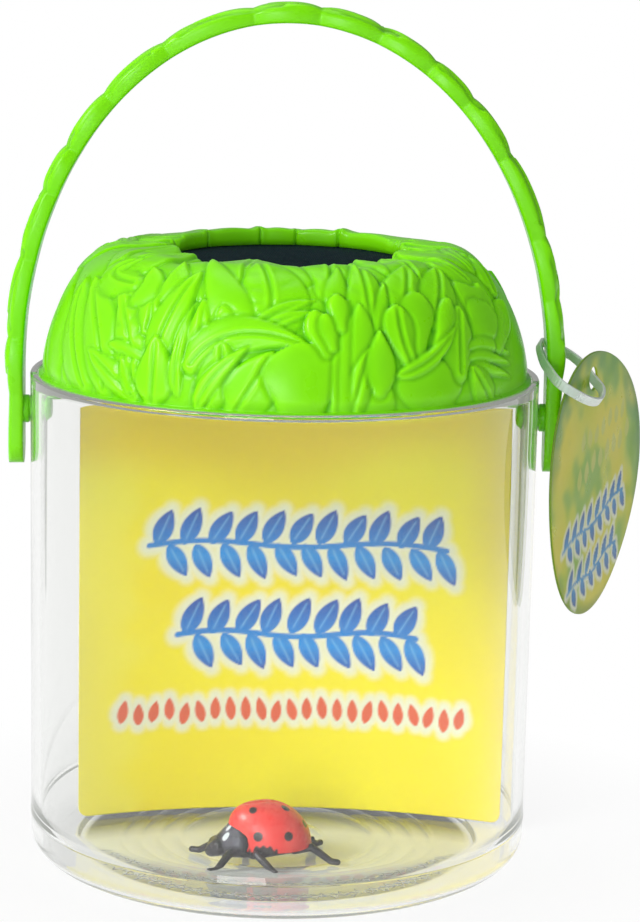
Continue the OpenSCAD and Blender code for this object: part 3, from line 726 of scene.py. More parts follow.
def make_lid():
    """Leaf-moulded lid: skirt inside the rim, dome, ragged lip round the vent, collar and hollow."""
    azimuth = np.arange(LID_COUNT) * 360 / LID_COUNT
    turn = np.radians(azimuth)
    rings, relief = [], []

    # Each ring gets a level of painted light and shade, 0 darkest and 1 lightest; skirt and collar sit at a
    # middle level
    def ring(r, z, painted_light_level):
        rings.append(round_axis(r, turn, z))
        relief.append(np.full(LID_COUNT, painted_light_level))

    for r, z in SKIRT:
        ring(r, z, 0.5)
    lip = CREST_R - VENT_R - 1.2
    levels = np.concatenate([[0, 0.25], np.linspace(0.6, SLANT, LID_ROWS),
        SLANT + lip * np.linspace(0.08, 1, LIP_ROWS)])

    def on_all_levels(values):
        return np.tile(values, len(levels))

    a, s = (v.ravel() for v in np.meshgrid(azimuth, levels))
    base = on_dome(a, s)
    sines, cosines = on_all_levels(np.sin(turn)), on_all_levels(np.cos(turn))
    out = np.cross(np.stack([cosines, sines, 0 * a], -1), unit(on_dome(a, s + 0.02) - base))
    inward = ease((s - SLANT + 3) / (lip + 3))
    deep, cut = notches(azimuth)
    from_front = np.abs(degrees_off(azimuth, 0))
    behind = on_all_levels(ease(from_front, 105, 30))
    front = ease(from_front, 75, -40)
    h = lid_relief(a, s) * (0.75 + 0.25 * ease(s / 2.5))
    h *= 1 - 0.9 * on_all_levels(deep) * ease((s - SLANT + 7) / 8)
    h *= 1 - 0.7 * behind * ease((s - SLANT + 9) / 6)
    h = h * (1 - behind * inward) + 1.9 * behind * inward
    knots = sum(high * np.exp(-(degrees_off(azimuth, middle) / wide) ** 2)
        for middle, high, wide in VENT_KNOTS)
    reach, lift = vent_tips(azimuth)
    shifted = base + out * h[:, None] * (1 - 0.3 * inward)[:, None]
    shifted[:, 2] += (on_all_levels(lift * (1 - deep) + knots) * inward ** 1.5
        - 1.6 * on_all_levels(front) * inward)
    pull = on_all_levels(reach * (1 - deep) - cut - 0.8 * front + 0.5 * knots) * inward
    shifted[:, 0] -= pull * sines * 0.9
    shifted[:, 1] += pull * cosines * 0.9
    rings += list(shifted.reshape(len(levels), LID_COUNT, 3))
    # Painted shade in the creases of the leaves and painted light on their ridges
    relief += list(painted_shade_and_light(h.reshape(len(levels), LID_COUNT), True))

    radius, top = np.hypot(rings[-1][:, 0], rings[-1][:, 1]), rings[-1][:, 2]
    # Painted light on the rounded edge of the lip, and painted shade deepening down the vent's inner wall
    for inset, drop in LIP_EDGE:
        ring(radius - inset, top - drop, 0.8)
    for share in (0.5, 1):
        ring(radius - 1.15, (1 - share) * (top - 1.3) + share * MESH_Z, 0.7 - 0.35 * share)
    for r, z in COLLAR:
        ring(r, z, 0.5)
    lid = mesh_object("lid_leaves", np.concatenate(rings), ring_faces(len(rings), LID_COUNT, True))
    store(lid, "relief", "FLOAT", np.concatenate(relief))
    dress(lid, LIME, "lid", "green_plastic", "lid_dome")


make_lid()

# Handle

LEG_X, ARCH_Z, ARCH_RISE, PADDLE = 67.1, 123, 88, 13.8
# Levels of painted light and shade, 0 darkest and 1 lightest, on the strap's edges, under it and on its
# pivots: painted shade under the strap and deeper on the pivots
EDGE_LIGHT_LEVEL, UNDER_LIGHT_LEVEL, PIVOT_LIGHT_LEVEL = 0.62, 0.5, 0.35
STRAP_STEP, STRAP_COLUMNS, STRAP_T, STRAP_HALF, STRAP_SWELL = 0.5, 25, 1.9, 4.7, 1.4

# Ways along the strap between the starts of its leaves
LEAF_STEPS = [15.5, 12.5, 17, 13.5, 16, 12, 14.5, 18, 12.5, 15]

# Where the leaves along the strap's edge meet, as ways along the strap, and how far each swells
EDGE_NOTCHES = [18, 32.2, 52, 69.3, 81.3, 96.7, 115, 138, 154, 169.5, 184, 196.4, 212.7, 234.4, 250, 270]
EDGE_SWELLS = [0.6, 0.9, 0.85, 1, 0.9, 1, 0.9, 1, 0.9, 1, 0.9, 1, 0.95, 0.8, 0.7]

# Pivot from the leg's outside inwards: shoulder, neck and snap head, as (radius, place along X)
PIVOT = [(3.5, 66.6), (3.5, 64.1), (3.2, 63.8), (2.45, 63.75), (2.45, 60.7), (3.1, 60.6), (3.3, 60.4),
    (2.2, 59), (1.9, 58.95)]


def handle_line():
    """Centre line of the handle from its left paddle's foot to its right one's, with its outward
    normal and its length so far."""
    a = np.linspace(pi, 0, 1200)
    arch = np.stack([LEG_X * np.cos(a), ARCH_Z + ARCH_RISE * np.sin(a)], 1)
    leg = np.stack([np.full(119, -LEG_X), np.linspace(PIVOT_Z - PADDLE, ARCH_Z, 120)[:-1]], 1)
    line = np.concatenate([leg, arch, leg[::-1] * (-1, 1)])
    length = length_along(line)
    s = np.linspace(0, length[-1], int(length[-1] / STRAP_STEP))
    x, z = (np.interp(s, length, line[:, k]) for k in (0, 1))
    out = np.stack([np.where(z > ARCH_Z, x / LEG_X ** 2, np.sign(x)),
        np.where(z > ARCH_Z, (z - ARCH_Z) / ARCH_RISE ** 2, 0)], 1)
    return np.stack([x, 0 * x, z], 1), np.insert(unit(out), 1, 0, 1), s


def strap_leaves(total):
    """Leaves along the handle, lowest first, each big one with a small one beside it: three places
    along the midrib (way along the strap, place across it), half width, height at foot and tip."""
    start, k = 22, 0
    while start < total - 30:
        tilt = (-1) ** k * (1.3 + 0.5 * ((k * 7) % 3 - 1))
        length = 21 + 4 * ((k * 5) % 3 - 1)
        yield (start + length, -tilt), (start + length * 0.5, tilt * 0.2), (start, tilt), 4.6, 0.15, 1
        side = -(-1) ** k
        yield ((start + length * 0.9, side), (start + length * 0.5, side * 3.6),
            (start + length * 0.18, side * 5.2), 2.3, 0.1, 0.75)
        start += LEAF_STEPS[k % len(LEAF_STEPS)]
        k += 1


def swell(s, shift, power):
    """Height of the leaves' edges along the strap, 0 to 1: cushions with a notch between each two."""
    h = np.zeros_like(s)
    for start, end, height in zip(EDGE_NOTCHES, EDGE_NOTCHES[1:], EDGE_SWELLS):
        f = np.clip((s - start - shift) / (end - start), 0, 1)
        h = np.maximum(h, height * np.clip(1 - np.abs(2 * f - 1) ** power, 0, 1))
    return h


def make_handle():
    """Handle: one strap with leaves pressed on its outside and scalloped edges, and its pivots."""
    centre, out, s = handle_line()
    rows, columns = len(s), STRAP_COLUMNS
    end = np.minimum(s, s[-1] - s)
    rounding = np.sqrt(np.clip(1 - (1 - np.clip(end / 5.2, 0, 1)) ** 2, 0.0004, 1))
    front, back = ((STRAP_HALF + STRAP_SWELL * swell(s, shift, 2)) * rounding for shift in (0, 7))
    across = np.linspace(-1, 1, columns)
    y = across * np.where(across < 0, front[:, None] - 0.35, back[:, None] - 0.35)
    flat = np.stack([np.repeat(s, columns), y.ravel(), np.zeros(rows * columns)], -1)
    height = np.zeros(rows * columns)
    upwards = np.tile([0, 0, 1], (rows * columns, 1))
    for a, b, c, half, foot, tip in strap_leaves(s[-1]):
        line = bent_line(*(np.array((*v, 0), float) for v in (a, b, c)), 17)
        near = np.where((flat[:, 0] > line[:, 0].min() - 4) & (flat[:, 0] < line[:, 0].max() + 4))[0]
        press_leaf(height, flat, upwards, line, near, "leaf", half, foot, tip, 1)
    crown = 0.8 * swell(s, 0, 3) - 0.3
    height = np.clip(0.6 * height.reshape(rows, columns), -0.25, 0.75) + crown[:, None]
    height *= ease(end, 6, 16)[:, None]
    # Painted shade in the creases of the strap's leaves and painted light on their ridges
    painted_ridge_light = painted_shade_and_light(height, False)
    top = STRAP_T + height - 0.45 * np.abs(across) ** 6
    points, relief = [], []
    for i in range(rows):
        # places round the strap as (height over the centre line, place across)
        section = list(zip(top[i], y[i]))
        edges = [[(u, w * g) for u, g in ((STRAP_T - 0.75 + 0.3 * height[i, k], 1), (0.6, 1),
            (-0.7, 0.995), (-STRAP_T + 0.55, 0.975), (-STRAP_T + 0.15, 0.93))]
            for w, k in ((back[i], -1), (-front[i], 0))]
        under = [(-STRAP_T, v) for v in np.linspace(0.8 * back[i], -0.8 * front[i], 5)]
        for u, v in section + edges[0] + under + edges[1][::-1]:
            points.append(centre[i] + out[i] * u + np.array([0, v, 0]))
        relief += [*painted_ridge_light[i], *[EDGE_LIGHT_LEVEL] * 5, *[UNDER_LIGHT_LEVEL] * 5, *[EDGE_LIGHT_LEVEL] * 5]
    count = len(points) // rows
    faces = [f[::-1] for f in ring_faces(rows, count)]
    faces += [tuple(range(count)), tuple(range(len(points) - 1, len(points) - count - 1, -1))]
    for side in (-1, 1):
        start, n = len(points), len(PIVOT)
        pole = start + n * PIVOT_COUNT
        points += [*np.concatenate([round_pivot(r, x, side) for r, x in PIVOT]),
            (side * PIVOT[0][1], 0, PIVOT_Z), (side * PIVOT[-1][1], 0, PIVOT_Z)]
        faces += [tuple(start + k for k in f[::-1]) for f in ring_faces(n, PIVOT_COUNT)]
        faces += cap(pole, start, PIVOT_COUNT, True) + cap(pole + 1, pole - PIVOT_COUNT, PIVOT_COUNT, False)
    relief += [PIVOT_LIGHT_LEVEL] * (len(points) - len(relief))
    strap = mesh_object("handle_strap", points, faces)
    store(strap, "relief", "FLOAT", relief)
    dress(strap, LIME, "bail", "green_plastic", "handle")


make_handle()

# Mesh under the vent

MESH_SIZES = {"Spacing": 0.7, "Thread radius": 0.215, "Disc radius": 35.0, "Height": MESH_Z - 0.4}
MESH_TURN = radians(14)


def make_mesh():
    """Woven mesh: two sets of threads over and under each other, cut to a disc, by geometry nodes."""
    tree = bpy.data.node_groups.new("vent_weave", "GeometryNodeTree")
    face = tree.interface
    for name in MESH_SIZES:
        face.new_socket(name, in_out="INPUT", socket_type="NodeSocketFloat")
    face.new_socket("Material", in_out="INPUT", socket_type="NodeSocketMaterial")
    face.new_socket("Geometry", in_out="OUTPUT", socket_type="NodeSocketGeometry")
    given = node(tree, "NodeGroupInput").outputs
    spacing, radius, disc, level, material = (Field(out) for out in given[:len(MESH_SIZES) + 1])

    def along_axes(**lengths):
        return field(tree, "CombineXYZ", lengths)

    def here():
        return parts_of(field(tree, "GeometryNodeInputPosition"))

    def moved(**inputs):
        return field(tree, "GeometryNodeTransform", inputs)

    across = disc * 2 / spacing
    count = across.reckon("FLOOR", across)
    rows = field(tree, "GeometryNodeMeshLine", {"Count": field(tree, "FunctionNodeFloatToInt", {0: count}),
        "Start Location": along_axes(Y=(count - 1) * spacing * -0.5), "Offset": along_axes(Y=spacing)},
        mode="OFFSET")
    y = here()[1]
    half = (disc * disc - y * y).most(1).root()
    unit_line = field(tree, "GeometryNodeCurvePrimitiveLine", {"Start": (-1, 0, 0), "End": (1, 0, 0)})
    threads = field(tree, "GeometryNodeInstanceOnPoints", {"Points": rows, "Instance": unit_line,
        "Scale": along_axes(X=half, Y=1, Z=1)})
    fine = field(tree, "GeometryNodeResampleCurve", {"Curve": field(tree, "GeometryNodeRealizeInstances",
        {0: threads}), "Length": spacing * 0.5}, mode="LENGTH")
    join = node(tree, "GeometryNodeJoinGeometry")
    for turn, sign in ((0, 1), (pi / 2, -1)):
        x, y, _ = here()
        phase = (x + y * sign) / spacing * pi
        wave = phase.reckon("COSINE", phase) * (radius * (0.8 * sign))
        waved = field(tree, "GeometryNodeSetPosition", {"Geometry": fine, "Offset": along_axes(Z=wave)})
        connect(moved(Geometry=waved, Rotation=(0, 0, turn + MESH_TURN), Translation=along_axes(Z=level)),
            join, 0)
    section = field(tree, "GeometryNodeCurvePrimitiveCircle", {"Resolution": 3, "Radius": radius})
    tubes = field(tree, "GeometryNodeCurveToMesh", {"Curve": Field(join.outputs[0]),
        "Profile Curve": section})
    real = field(tree, "GeometryNodeRealizeInstances", {0: moved(Geometry=tubes, Scale=(MM, MM, MM))})
    shaded = field(tree, "GeometryNodeSetMaterial", {"Geometry": real, "Material": material})
    node(tree, "NodeGroupOutput", {0: shaded})
    weave = mesh_object("mesh_weave", [(0, 0, 0)], [])
    fit = weave.modifiers.new("weave", "NODES")
    fit.node_group = tree
    for item in face.items_tree:
        if item.in_out == "INPUT":
            fit[item.identifier] = MESH_SIZES.get(item.name, NAVY)
    dress(applied(weave), NAVY, "lid", "mesh_cloth", "mesh_screen")


make_mesh()
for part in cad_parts["mesh_ring"].material_slots:
    part.material = LIME

# Colours of the prints, as seen by eye

def colour(r, g, b):
    """Linear colour from one seen by eye, in steps of 255."""
    v = np.array([r, g, b], float) / 255
    return np.where(v <= 0.04045, v / 12.92, ((v + 0.055) / 1.055) ** 2.4)


def lay(under, over, share):
    """Paints one colour over others, by shares."""
    return under * (1 - share[:, None]) + over * share[:, None]


def layers(count, ground, *over):
    """Colours of points: a ground, and colours laid over it by shares, all as seen by eye."""
    c = np.tile(colour(*ground), (count, 1))
    for seen, share in over:
        c = lay(c, colour(*seen), share)
    return c


def shaded(level, *stops):
    """Colours between stops, each a level and a colour as seen by eye."""
    levels, colours = [stop[0] for stop in stops], [colour(*stop[1]) for stop in stops]
    return np.stack([np.interp(level, levels, [c[k] for c in colours]) for k in range(3)], 1)


def soft_noise(x, y, seed, low, high):
    """Smooth blotches between -1 and 1 on a plane, always the same for a seed."""
    pick, waves = np.random.default_rng(seed), 14
    total = np.zeros_like(x)
    for _ in range(waves):
        turn, rate, shift = pick.uniform(0, 2 * pi), pick.uniform(low, high), pick.uniform(0, 2 * pi)
        total += np.sin(2 * pi * rate * (x * cos(turn) + y * sin(turn)) + shift)
    return total / sqrt(waves) / 1.6


def leaf_print(x, y, centre, length, width, lean):
    """Distance inside a printed leaf, how far along it from its foot, 0 to 1, and off its midrib."""
    dx, dy = x - centre[0], y - centre[1]
    s, c = sin(radians(lean)), cos(radians(lean))
    along, across = dx * s + dy * c, np.abs(dx * c - dy * s)
    f = along / length + 0.5
    half = width * np.sin(np.pi * np.clip(f, 0, 1) ** 0.85) ** 0.75
    beyond = -np.hypot(across, np.clip(np.abs(along) - length / 2, 0, None)) + half
    return np.where((f > 0) & (f < 1), half - across, beyond), f, across


def paint(made, colours):
    """Stores colours on the piece's points."""
    store(made, "paint", "FLOAT_COLOR", np.insert(colours, 3, 1, 1))


def row_of_ovals(x, y, left, right, low, high, count, width, seed):
    """Distance inside the nearest of a row of printed ovals."""
    pick = np.random.default_rng(seed)
    inside = np.full(len(x), -99)
    for i in range(count):
        middle = (left + (right - left) * (i + 0.5) / count, (low + high) / 2 + pick.uniform(-0.8, 0.8))
        length, lean = (high - low) * pick.uniform(0.94, 1.05), pick.uniform(-9, 9) + 6 * (-1) ** i
        inside = np.maximum(inside, leaf_print(x, y, middle, length, width, lean)[0])
    return inside


def vine(x, y, left, right, middle, reach, count, seed):
    """A printed vine along a row: the inside distance of its nearest leaf or its stem, the place
    along that leaf and off its midrib, and the height over the stem as a share of its reach."""
    pick = np.random.default_rng(seed)
    stem_y = middle + 0.9 * np.sin((x - left) * 2 * pi * 1.5 / (right - left))
    ends = np.clip(np.maximum(left - x, x - right), 0, None)
    nearest = 0.075 * reach - np.hypot(y - stem_y, ends), np.ones(len(x)), np.full(len(x), 9)
    for i in range(count):
        for side, start, width in ((1, 0.25, 0.265), (-1, 0.7, 0.25)):
            foot = left + (right - left) / count * (i + start)
            lean, length = pick.uniform(22, 34), reach * pick.uniform(1, 1.1)
            at = (foot + 0.5 * length * sin(radians(lean)),
                middle + side * 0.5 * length * cos(radians(lean)))
            found = leaf_print(x, y, at, length, reach * width, lean if side > 0 else 180 - lean)
            closer = found[0] > nearest[0]
            nearest = [np.where(closer, new, old) for new, old in zip(found, nearest)]
    return *nearest, (y - middle) / reach


# Card insert

CARD_EDGE_X, CARD_Y, CARD_BOW, CARD_T, CARD_H, CARD_FOOT = 59.47, 10, 11.5, 0.5, 113, 2.5
CARD_CORNER, CARD_COLUMNS, CARD_ROWS = 2.6, 275, 290


def card_colours(x, z):
    """Print of the card: bright yellow, and two blue vines and a row of red ovals, each in a pale
    halo; with painted shade as a deeper gold under the lid and painted light paler towards its left."""
    cloud, fine = soft_noise(x, z, 3, 0.006, 0.03), soft_noise(x, z, 5, 0.03, 0.09)
    c = layers(len(x), (254, 240, 4),
        ((250, 226, 0), ease(0.5 + 0.5 * cloud) * 0.8),
        # painted light: paler towards the card's left edge
        ((252, 244, 90), ease((-x - 32 + 4 * fine) / 14) * 0.45),
        # painted shade: deeper gold towards the top, under the lid
        ((250, 214, 0), ease((z - 88 + 5 * cloud) / 16) * 0.8),
        ((240, 216, 10), ease(x, 44, 16) * ease(z, 40, 40) * 0.8),
        ((250, 226, 70), ease(x, 52, 6) * ease(z, 60, -30) * 0.7))
    c[:, 2] *= 1 - 0.75 * ease(x, -22, 55)
    vines = [vine(x, z, -34.5, 43, 74, 9.6, 11, 11), vine(x, z, -27, 35.5, 50, 9.9, 9, 12)]
    ovals = row_of_ovals(x, z, -43, 49.5, 26.2, 32.4, 23, 1.35, 13)
    halo = np.max([ease(inside, -3.6, 3) for inside, *_ in vines]
        + [ease(ovals, -3.2, 2.4)], 0)
    c = lay(c, colour(240, 240, 214), halo * 0.94)
    for inside, f, off, height in vines:
        edge = ease(inside / 0.45 + 0.5)
        c = lay(c, shaded(height, (-1, (14, 74, 178)), (-0.35, (4, 144, 226)), (0.3, (14, 120, 208)),
            (1, (16, 68, 168))), edge)
        rib = edge * np.exp(-(off / 0.26) ** 2) * ease((0.92 - f) * 8) * ease((f - 0.08) * 8)
        c = lay(c, colour(128, 196, 236), rib * 0.55)
    return lay(c, colour(232, 98, 60), ease(ovals / 0.4 + 0.5))


def make_card():
    """Curved card insert: printed front, white back and edges, rounded corners."""
    width = 2 * CARD_EDGE_X - 6.9
    middle = CARD_EDGE_X - width / 2
    radius = (width * width / 4 + CARD_BOW ** 2) / (2 * CARD_BOW)
    left, right = (CARD_CORNER * (1 - np.cos(np.linspace(*ends, 7))) for ends in ((0, pi / 2), (pi / 2, 0)))
    u = np.concatenate([left[:-1], np.linspace(CARD_CORNER, width - CARD_CORNER, CARD_COLUMNS),
        (width - right)[1:]])
    inset = CARD_CORNER - np.clip(np.minimum(u, width - u), 0, CARD_CORNER)
    cut = CARD_CORNER - np.sqrt(CARD_CORNER ** 2 - inset ** 2)
    x = u - width / 2
    z = CARD_FOOT + cut[:, None] + (CARD_H - 2 * cut)[:, None] * np.linspace(0, 1, CARD_ROWS)

    def sheet(r):
        centre_y = CARD_Y + CARD_BOW - radius
        y = centre_y + np.sqrt(radius ** 2 - x ** 2)
        return middle + x - x / radius * (radius - r), y - (y - centre_y) / radius * (radius - r)

    n, m = len(u), CARD_ROWS
    (front_x, front_y), (back_x, back_y) = sheet(radius - CARD_T), sheet(radius)
    points = np.concatenate([np.stack([np.repeat(front_x, m), np.repeat(front_y, m), z.ravel()], 1),
        np.stack([back_x, back_y, z[:, 0]], 1), np.stack([back_x, back_y, z[:, -1]], 1)])
    low, high = n * m, n * m + n
    faces = [(i * m + j, (i + 1) * m + j, (i + 1) * m + j + 1, i * m + j + 1)
        for i in range(n - 1) for j in range(m - 1)]
    for i in range(n - 1):
        foot, head = i * m, i * m + m - 1
        faces += [(low + i + 1, low + i, high + i, high + i + 1), (low + i, low + i + 1, foot + m, foot),
            (head, head + m, high + i + 1, high + i)]
    faces += [(high, low, *range(m)), (high - 1, high + n - 1, *range(low - 1, low - m - 1, -1))]
    card = mesh_object("yellow_card_sheet", points, faces)
    c = layers(len(points), (236, 232, 220))
    c[:low] = card_colours(points[:low, 0], points[:low, 2])
    paint(card, c)
    dress(card, YELLOW_CARD, "jar", "yellow_card", "insert_card")


make_card()

# Hang tag and its tie

TAG_HOLE, TAG_R, TAG_T, TAG_HOLE_R, TAG_TURN = (77, 0, 122.5), 33.4, 0.6, 2.9, radians(64.5)
TAG_COUNT, TAG_RINGS, TAG_MIDDLE = 640, 96, (4.4, -26.2)


def tag_colours(u, v):
    """Print of the tag: soft green and olive blotches, teal towards its rim, two rows of pale ovals
    and two small blue vines."""
    cloud, fine = soft_noise(u, v, 21, 0.02, 0.06), soft_noise(u, v, 22, 0.06, 0.16)
    rim = np.hypot(u - TAG_MIDDLE[0], v - TAG_MIDDLE[1]) / TAG_R
    c = layers(len(u), (198, 208, 36),
        ((226, 214, 44), ease(0.3 + 1.1 * cloud) * 0.75),
        ((124, 180, 48), ease(0.15 - 1.2 * cloud + 0.5 * fine) * 0.85),
        ((88, 156, 70), ease((rim - 0.76) * 4 + 0.5 * fine) * ease(v, -34, 20) * 0.75),
        ((56, 128, 34), ease((rim - 0.92) * 9) * 0.6))
    v = v - 0.2 * u
    for row in ((-8, 26, -17.5, -12.5, 7, 1.5, 31), (-10, 30, -25.5, -20, 8, 1.6, 32)):
        c = lay(c, colour(196, 204, 92), ease(row_of_ovals(u, v, *row) / 0.5 + 0.5) * 0.85)
    for row in ((-18, 26, -38, 5.6, 8, 33), (-14, 22, -50.5, 5.6, 6, 34)):
        inside, _, _, height = vine(u, v, *row)
        c = lay(c, colour(228, 234, 206), ease(inside, -1.9, 1.3) * 0.92)
        blue = shaded(height, (-1, (46, 84, 156)), (0, (40, 148, 206)), (1, (42, 80, 146)))
        c = lay(c, blue, ease(inside / 0.4 + 0.5))
    return c


def make_tag():
    """Egg-shaped card tag with a punched hole and softened edges."""
    across = np.array([cos(TAG_TURN), sin(TAG_TURN), 0])
    out = np.array([sin(TAG_TURN), -cos(TAG_TURN), 0])
    a = turn_of(TAG_COUNT)
    egg = np.linspace(0, 2 * pi, 4001)
    r = TAG_R + 1.5 * np.cos(3 * (egg + radians(108)))
    egg_u, egg_v = TAG_MIDDLE[0] + r * np.cos(egg), TAG_MIDDLE[1] + r * np.sin(egg)
    ray = np.unwrap(np.arctan2(egg_v, egg_u))
    order = np.argsort(ray)
    reach = np.interp(a, ray[order], np.hypot(egg_u, egg_v)[order], period=2 * pi)
    t, hole = TAG_T / 2, np.full(TAG_COUNT, TAG_HOLE_R)
    print_rings = [(TAG_HOLE_R + 0.08 + (reach - TAG_HOLE_R - 0.2) * share, t)
        for share in np.linspace(0, 1, TAG_RINGS)]
    points, marks = [], []
    for radius, depth in print_rings + [(reach, t - 0.12), (reach, -t + 0.12), (reach - 0.12, -t),
            (reach * 0.5, -t), (hole + 0.08, -t), (hole, -t + 0.1), (hole, t - 0.1)]:
        u, v = radius * np.cos(a), radius * np.sin(a)
        points.append(np.array(TAG_HOLE) + u[:, None] * across + v[:, None] * (0, 0, 1) + depth * out)
        marks.append(np.stack([u, v], 1))
    tag = mesh_object("green_tag", np.concatenate(points), ring_faces(len(points), TAG_COUNT, True))
    c = tag_colours(*np.concatenate(marks).T)
    c[TAG_RINGS * TAG_COUNT:(TAG_RINGS + 2) * TAG_COUNT] = colour(112, 146, 50)
    paint(tag, c)
    dress(tag, TAG_CARD, "tag", "tag_card", "hang_tag")


make_tag()

TIE_FOOT, TIE_STEPS = (65.2, 0, 122.5), 30
TIE_POINTS = np.array([(-1.2, -4, 5), (-1.45, 4.4, 7.2), (0, 9.2, 7.4), (4.6, 9.2, 5.6), (8.6, 5.4, 3.4),
    (11.8, 0, 0), (13.8, -4, -2.4), (12.8, -9.8, -4), (9.8, -15.6, -3.2), (5.4, -19.4, -0.7),
    (1.6, -17.4, 1.6), (-0.3, -10.6, 3.6)])


def make_tie():
    """Closed nylon band round the handle's leg and through the tag's hole, with fine ribs."""
    path = []
    for i in range(len(TIE_POINTS)):
        p0, p1, p2, p3 = (TIE_POINTS[(i + k) % len(TIE_POINTS)] for k in (-1, 0, 1, 2))
        for f in np.arange(TIE_STEPS) / TIE_STEPS:
            path.append((2 * p1 + (p2 - p0) * f + (2 * p0 - 5 * p1 + 4 * p2 - p3) * f * f
                + (3 * p1 - p0 - 3 * p2 + p3) * f ** 3) / 2)
    path = np.array(path) + np.array(TIE_FOOT)
    way = unit(np.roll(path, -1, 0) - np.roll(path, 1, 0))
    wide = unit(np.cross(way, path - path.mean(0)))
    thin = np.cross(wide, way)
    # places (across the band's width, across its thickness) round its section: rounded corners, and
    # three places on each flat side, where the ribs are pressed in
    section = []
    for w, t, start, flat in ((1.02, 0.22, 0, (0.5, 0, -0.5)), (-1.02, 0.22, 90, ()),
            (-1.02, -0.22, 180, (-0.5, 0, 0.5)), (1.02, -0.22, 270, ())):
        section += corner((w, t), 0.18, start, start + 90, 3) + [(k, copysign(0.4, t)) for k in flat]
    ribs = 0.1 * (np.sin(2 * pi * length_along(path) / 1.1) > 0.2)
    points = [place + w * across + (t - (rib if abs(w) < 0.9 and t > 0.3 else 0)) * through
        for place, across, through, rib in zip(path, wide, thin, ribs) for w, t in section]
    tie = mesh_object("nylon_tie", points, ring_faces(len(path), len(section), True))
    dress(tie, NYLON, "tie", "nylon", "tag_tie")


make_tie()

# Ladybird

BUG_PLACE, BUG_TURN = np.array([-1.5, -20, 2.1]), radians(195)
TO_BUG = np.array([[cos(BUG_TURN), -sin(BUG_TURN), 0],
    [sin(BUG_TURN), cos(BUG_TURN), 0], [0, 0, 1]])
SHELL_COUNT, SHELL_RINGS, SHELL_LENGTH, SHELL_WIDTH, SHELL_HEIGHT, SHELL_FOOT = 260, 84, 10.2, 8.3, 11, 4.2
BODY_WELD, BODY_VOXEL, LEG_GROWTH, LEG_TOP = 0.00002, 0.0002, 0.17, 4.6

# Spots on each half of the shell: place and radius
SPOTS = [(5.4, 2.9, 13.8, 1.1), (-3, 2.7, 14.2, 1.15), (-8, 3.2, 9.8, 1.15), (4.95, 6.4, 8.3, 1.2),
    (-2.5, 7.75, 8.3, 1.15)]

# Pale ovals on each side of the head: place and half sizes
FACE_OVALS = [((12.5, 2.7, 8.2), (1.2, 0.9, 1.7)), ((11.8, 1.4, 10), (1.3, 0.75, 1.35))]


def shell_ring(degrees, share, lift):
    """Ring of the shell at an angle up its side, drawn in to a share and lifted. The ladybird faces
    along its own X."""
    a, angle = turn_of(SHELL_COUNT), radians(degrees)
    c = cos(angle) ** (0.78 - 0.34 * np.cos(a)) * share
    x = SHELL_LENGTH * c * np.cos(a) + 0.6 * (1 - c) + 1.5 * np.clip(np.cos(a), 0, 1) ** 2 * sin(2 * angle)
    y = SHELL_WIDTH * c * np.sin(a) * (1 - 0.12 * np.cos(a))
    z = SHELL_FOOT + SHELL_HEIGHT * sin(angle) + lift + 0 * a
    seam = 0.28 * np.exp(-(y / 0.32) ** 2) * ease(z, 8, 3) * ease(x, 7.5, -3)
    return np.stack([x, y, z - seam], 1)


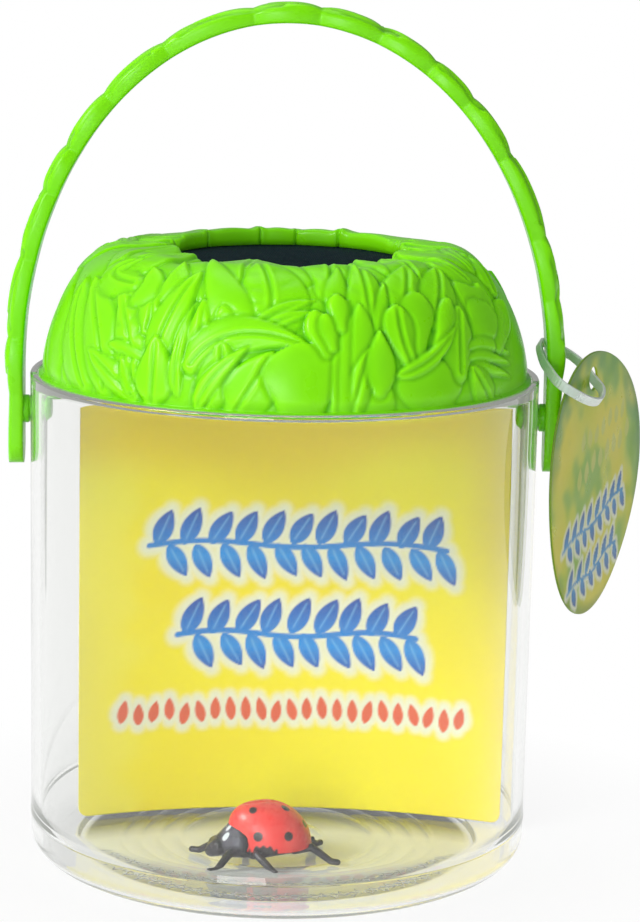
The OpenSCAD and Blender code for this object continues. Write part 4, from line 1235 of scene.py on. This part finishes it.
def make_shell():
    """Red shell of the toy ladybird, with painted spots, a dark patch on each side and a dark front."""
    rings = [shell_ring(0, 0.93, 0.05), shell_ring(0, 0.975, 0)]
    rings += [shell_ring(degrees, 1, 0) for degrees in np.linspace(0, 89.2, SHELL_RINGS)]
    local = np.concatenate(rings + [[(0, 0, 4.3)], [(0.6, 0, rings[-1][:, 2].mean())]])
    x, y, z = local.T
    dark = ease(x, 9, 0.8) * ease(z, 7.5, -2) * 0.8
    patch = np.hypot((x - 3.6) / 3.3, (z - 4.4) / 1.75) + 0.16 * np.cos(x * 3.9 + 1)
    dark = np.maximum(dark, ease((1 - patch) * 6) * (np.abs(y) > 3))
    for *place, r in SPOTS:
        off = np.linalg.norm(np.stack([x, np.abs(y), z], 1) - place, axis=1)
        dark = np.maximum(dark, ease((r - off) / 0.25 + 0.5))
    c = layers(len(local), (248, 54, 44),
        ((250, 84, 70), ease(soft_noise(x, y, 41, 0.05, 0.2) + 0.4) * 0.5), ((26, 22, 24), dark))
    shell = mesh_object("red_shell", local @ TO_BUG.T + BUG_PLACE,
        body_faces(len(rings), SHELL_COUNT))
    paint(shell, c)
    dress(shell, RED_TOY, "ladybird", "red_toy", "ladybird_shell")


def make_body():
    """Black body of the toy ladybird, smoothed from its solid, with fuller legs, a painted sheen in
    grey over its collar, and pale ovals."""
    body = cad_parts["ladybird_body"].copy()
    body.data = body.data.copy()
    body.name = "black_body"
    body.parent = None
    body.matrix_world = Matrix.Identity(4)
    bpy.context.collection.objects.link(body)
    body.modifiers.new("weld", "WELD").merge_threshold = BODY_WELD
    skin = body.modifiers.new("skin", "REMESH")
    skin.mode, skin.voxel_size, skin.use_smooth_shade = "VOXEL", BODY_VOXEL, True
    soften = body.modifiers.new("soften", "SMOOTH")
    soften.factor, soften.iterations = 0.6, 8
    applied(body)
    points, normals = np.empty((2, len(body.data.vertices) * 3))
    body.data.vertices.foreach_get("co", points)
    body.data.vertices.foreach_get("normal", normals)
    world = points.reshape(-1, 3) / MM
    local = (world - BUG_PLACE) @ TO_BUG
    x, y, z = local.T
    fuller = world + LEG_GROWTH * normals.reshape(-1, 3) * ease(z, LEG_TOP, -1.2)[:, None]
    fuller[:, 2] = np.maximum(fuller[:, 2], world[:, 2].min())
    body.data.vertices.foreach_set("co", (fuller * MM).ravel())
    # Painted sheen: the collar drawn in a lighter grey
    collar = ease(x, 8.2, 1) * ease(x, 13.4, -0.9) * ease(z, 4.6, 1.5)
    c = layers(len(local), (48, 47, 52), ((92, 92, 102), collar * 0.9))
    for place, half_sizes in FACE_OVALS:
        for side in (1, -1):
            off = np.linalg.norm((local - place * np.array([1, side, 1])) / half_sizes, axis=1)
            c = lay(c, colour(225, 228, 232), ease((1 - off) * 4 + 0.3))
    paint(body, c)
    body.data.shade_smooth()
    dress(body, BLACK_TOY, "ladybird", "black_toy", "ladybird_body")


make_shell()
make_body()
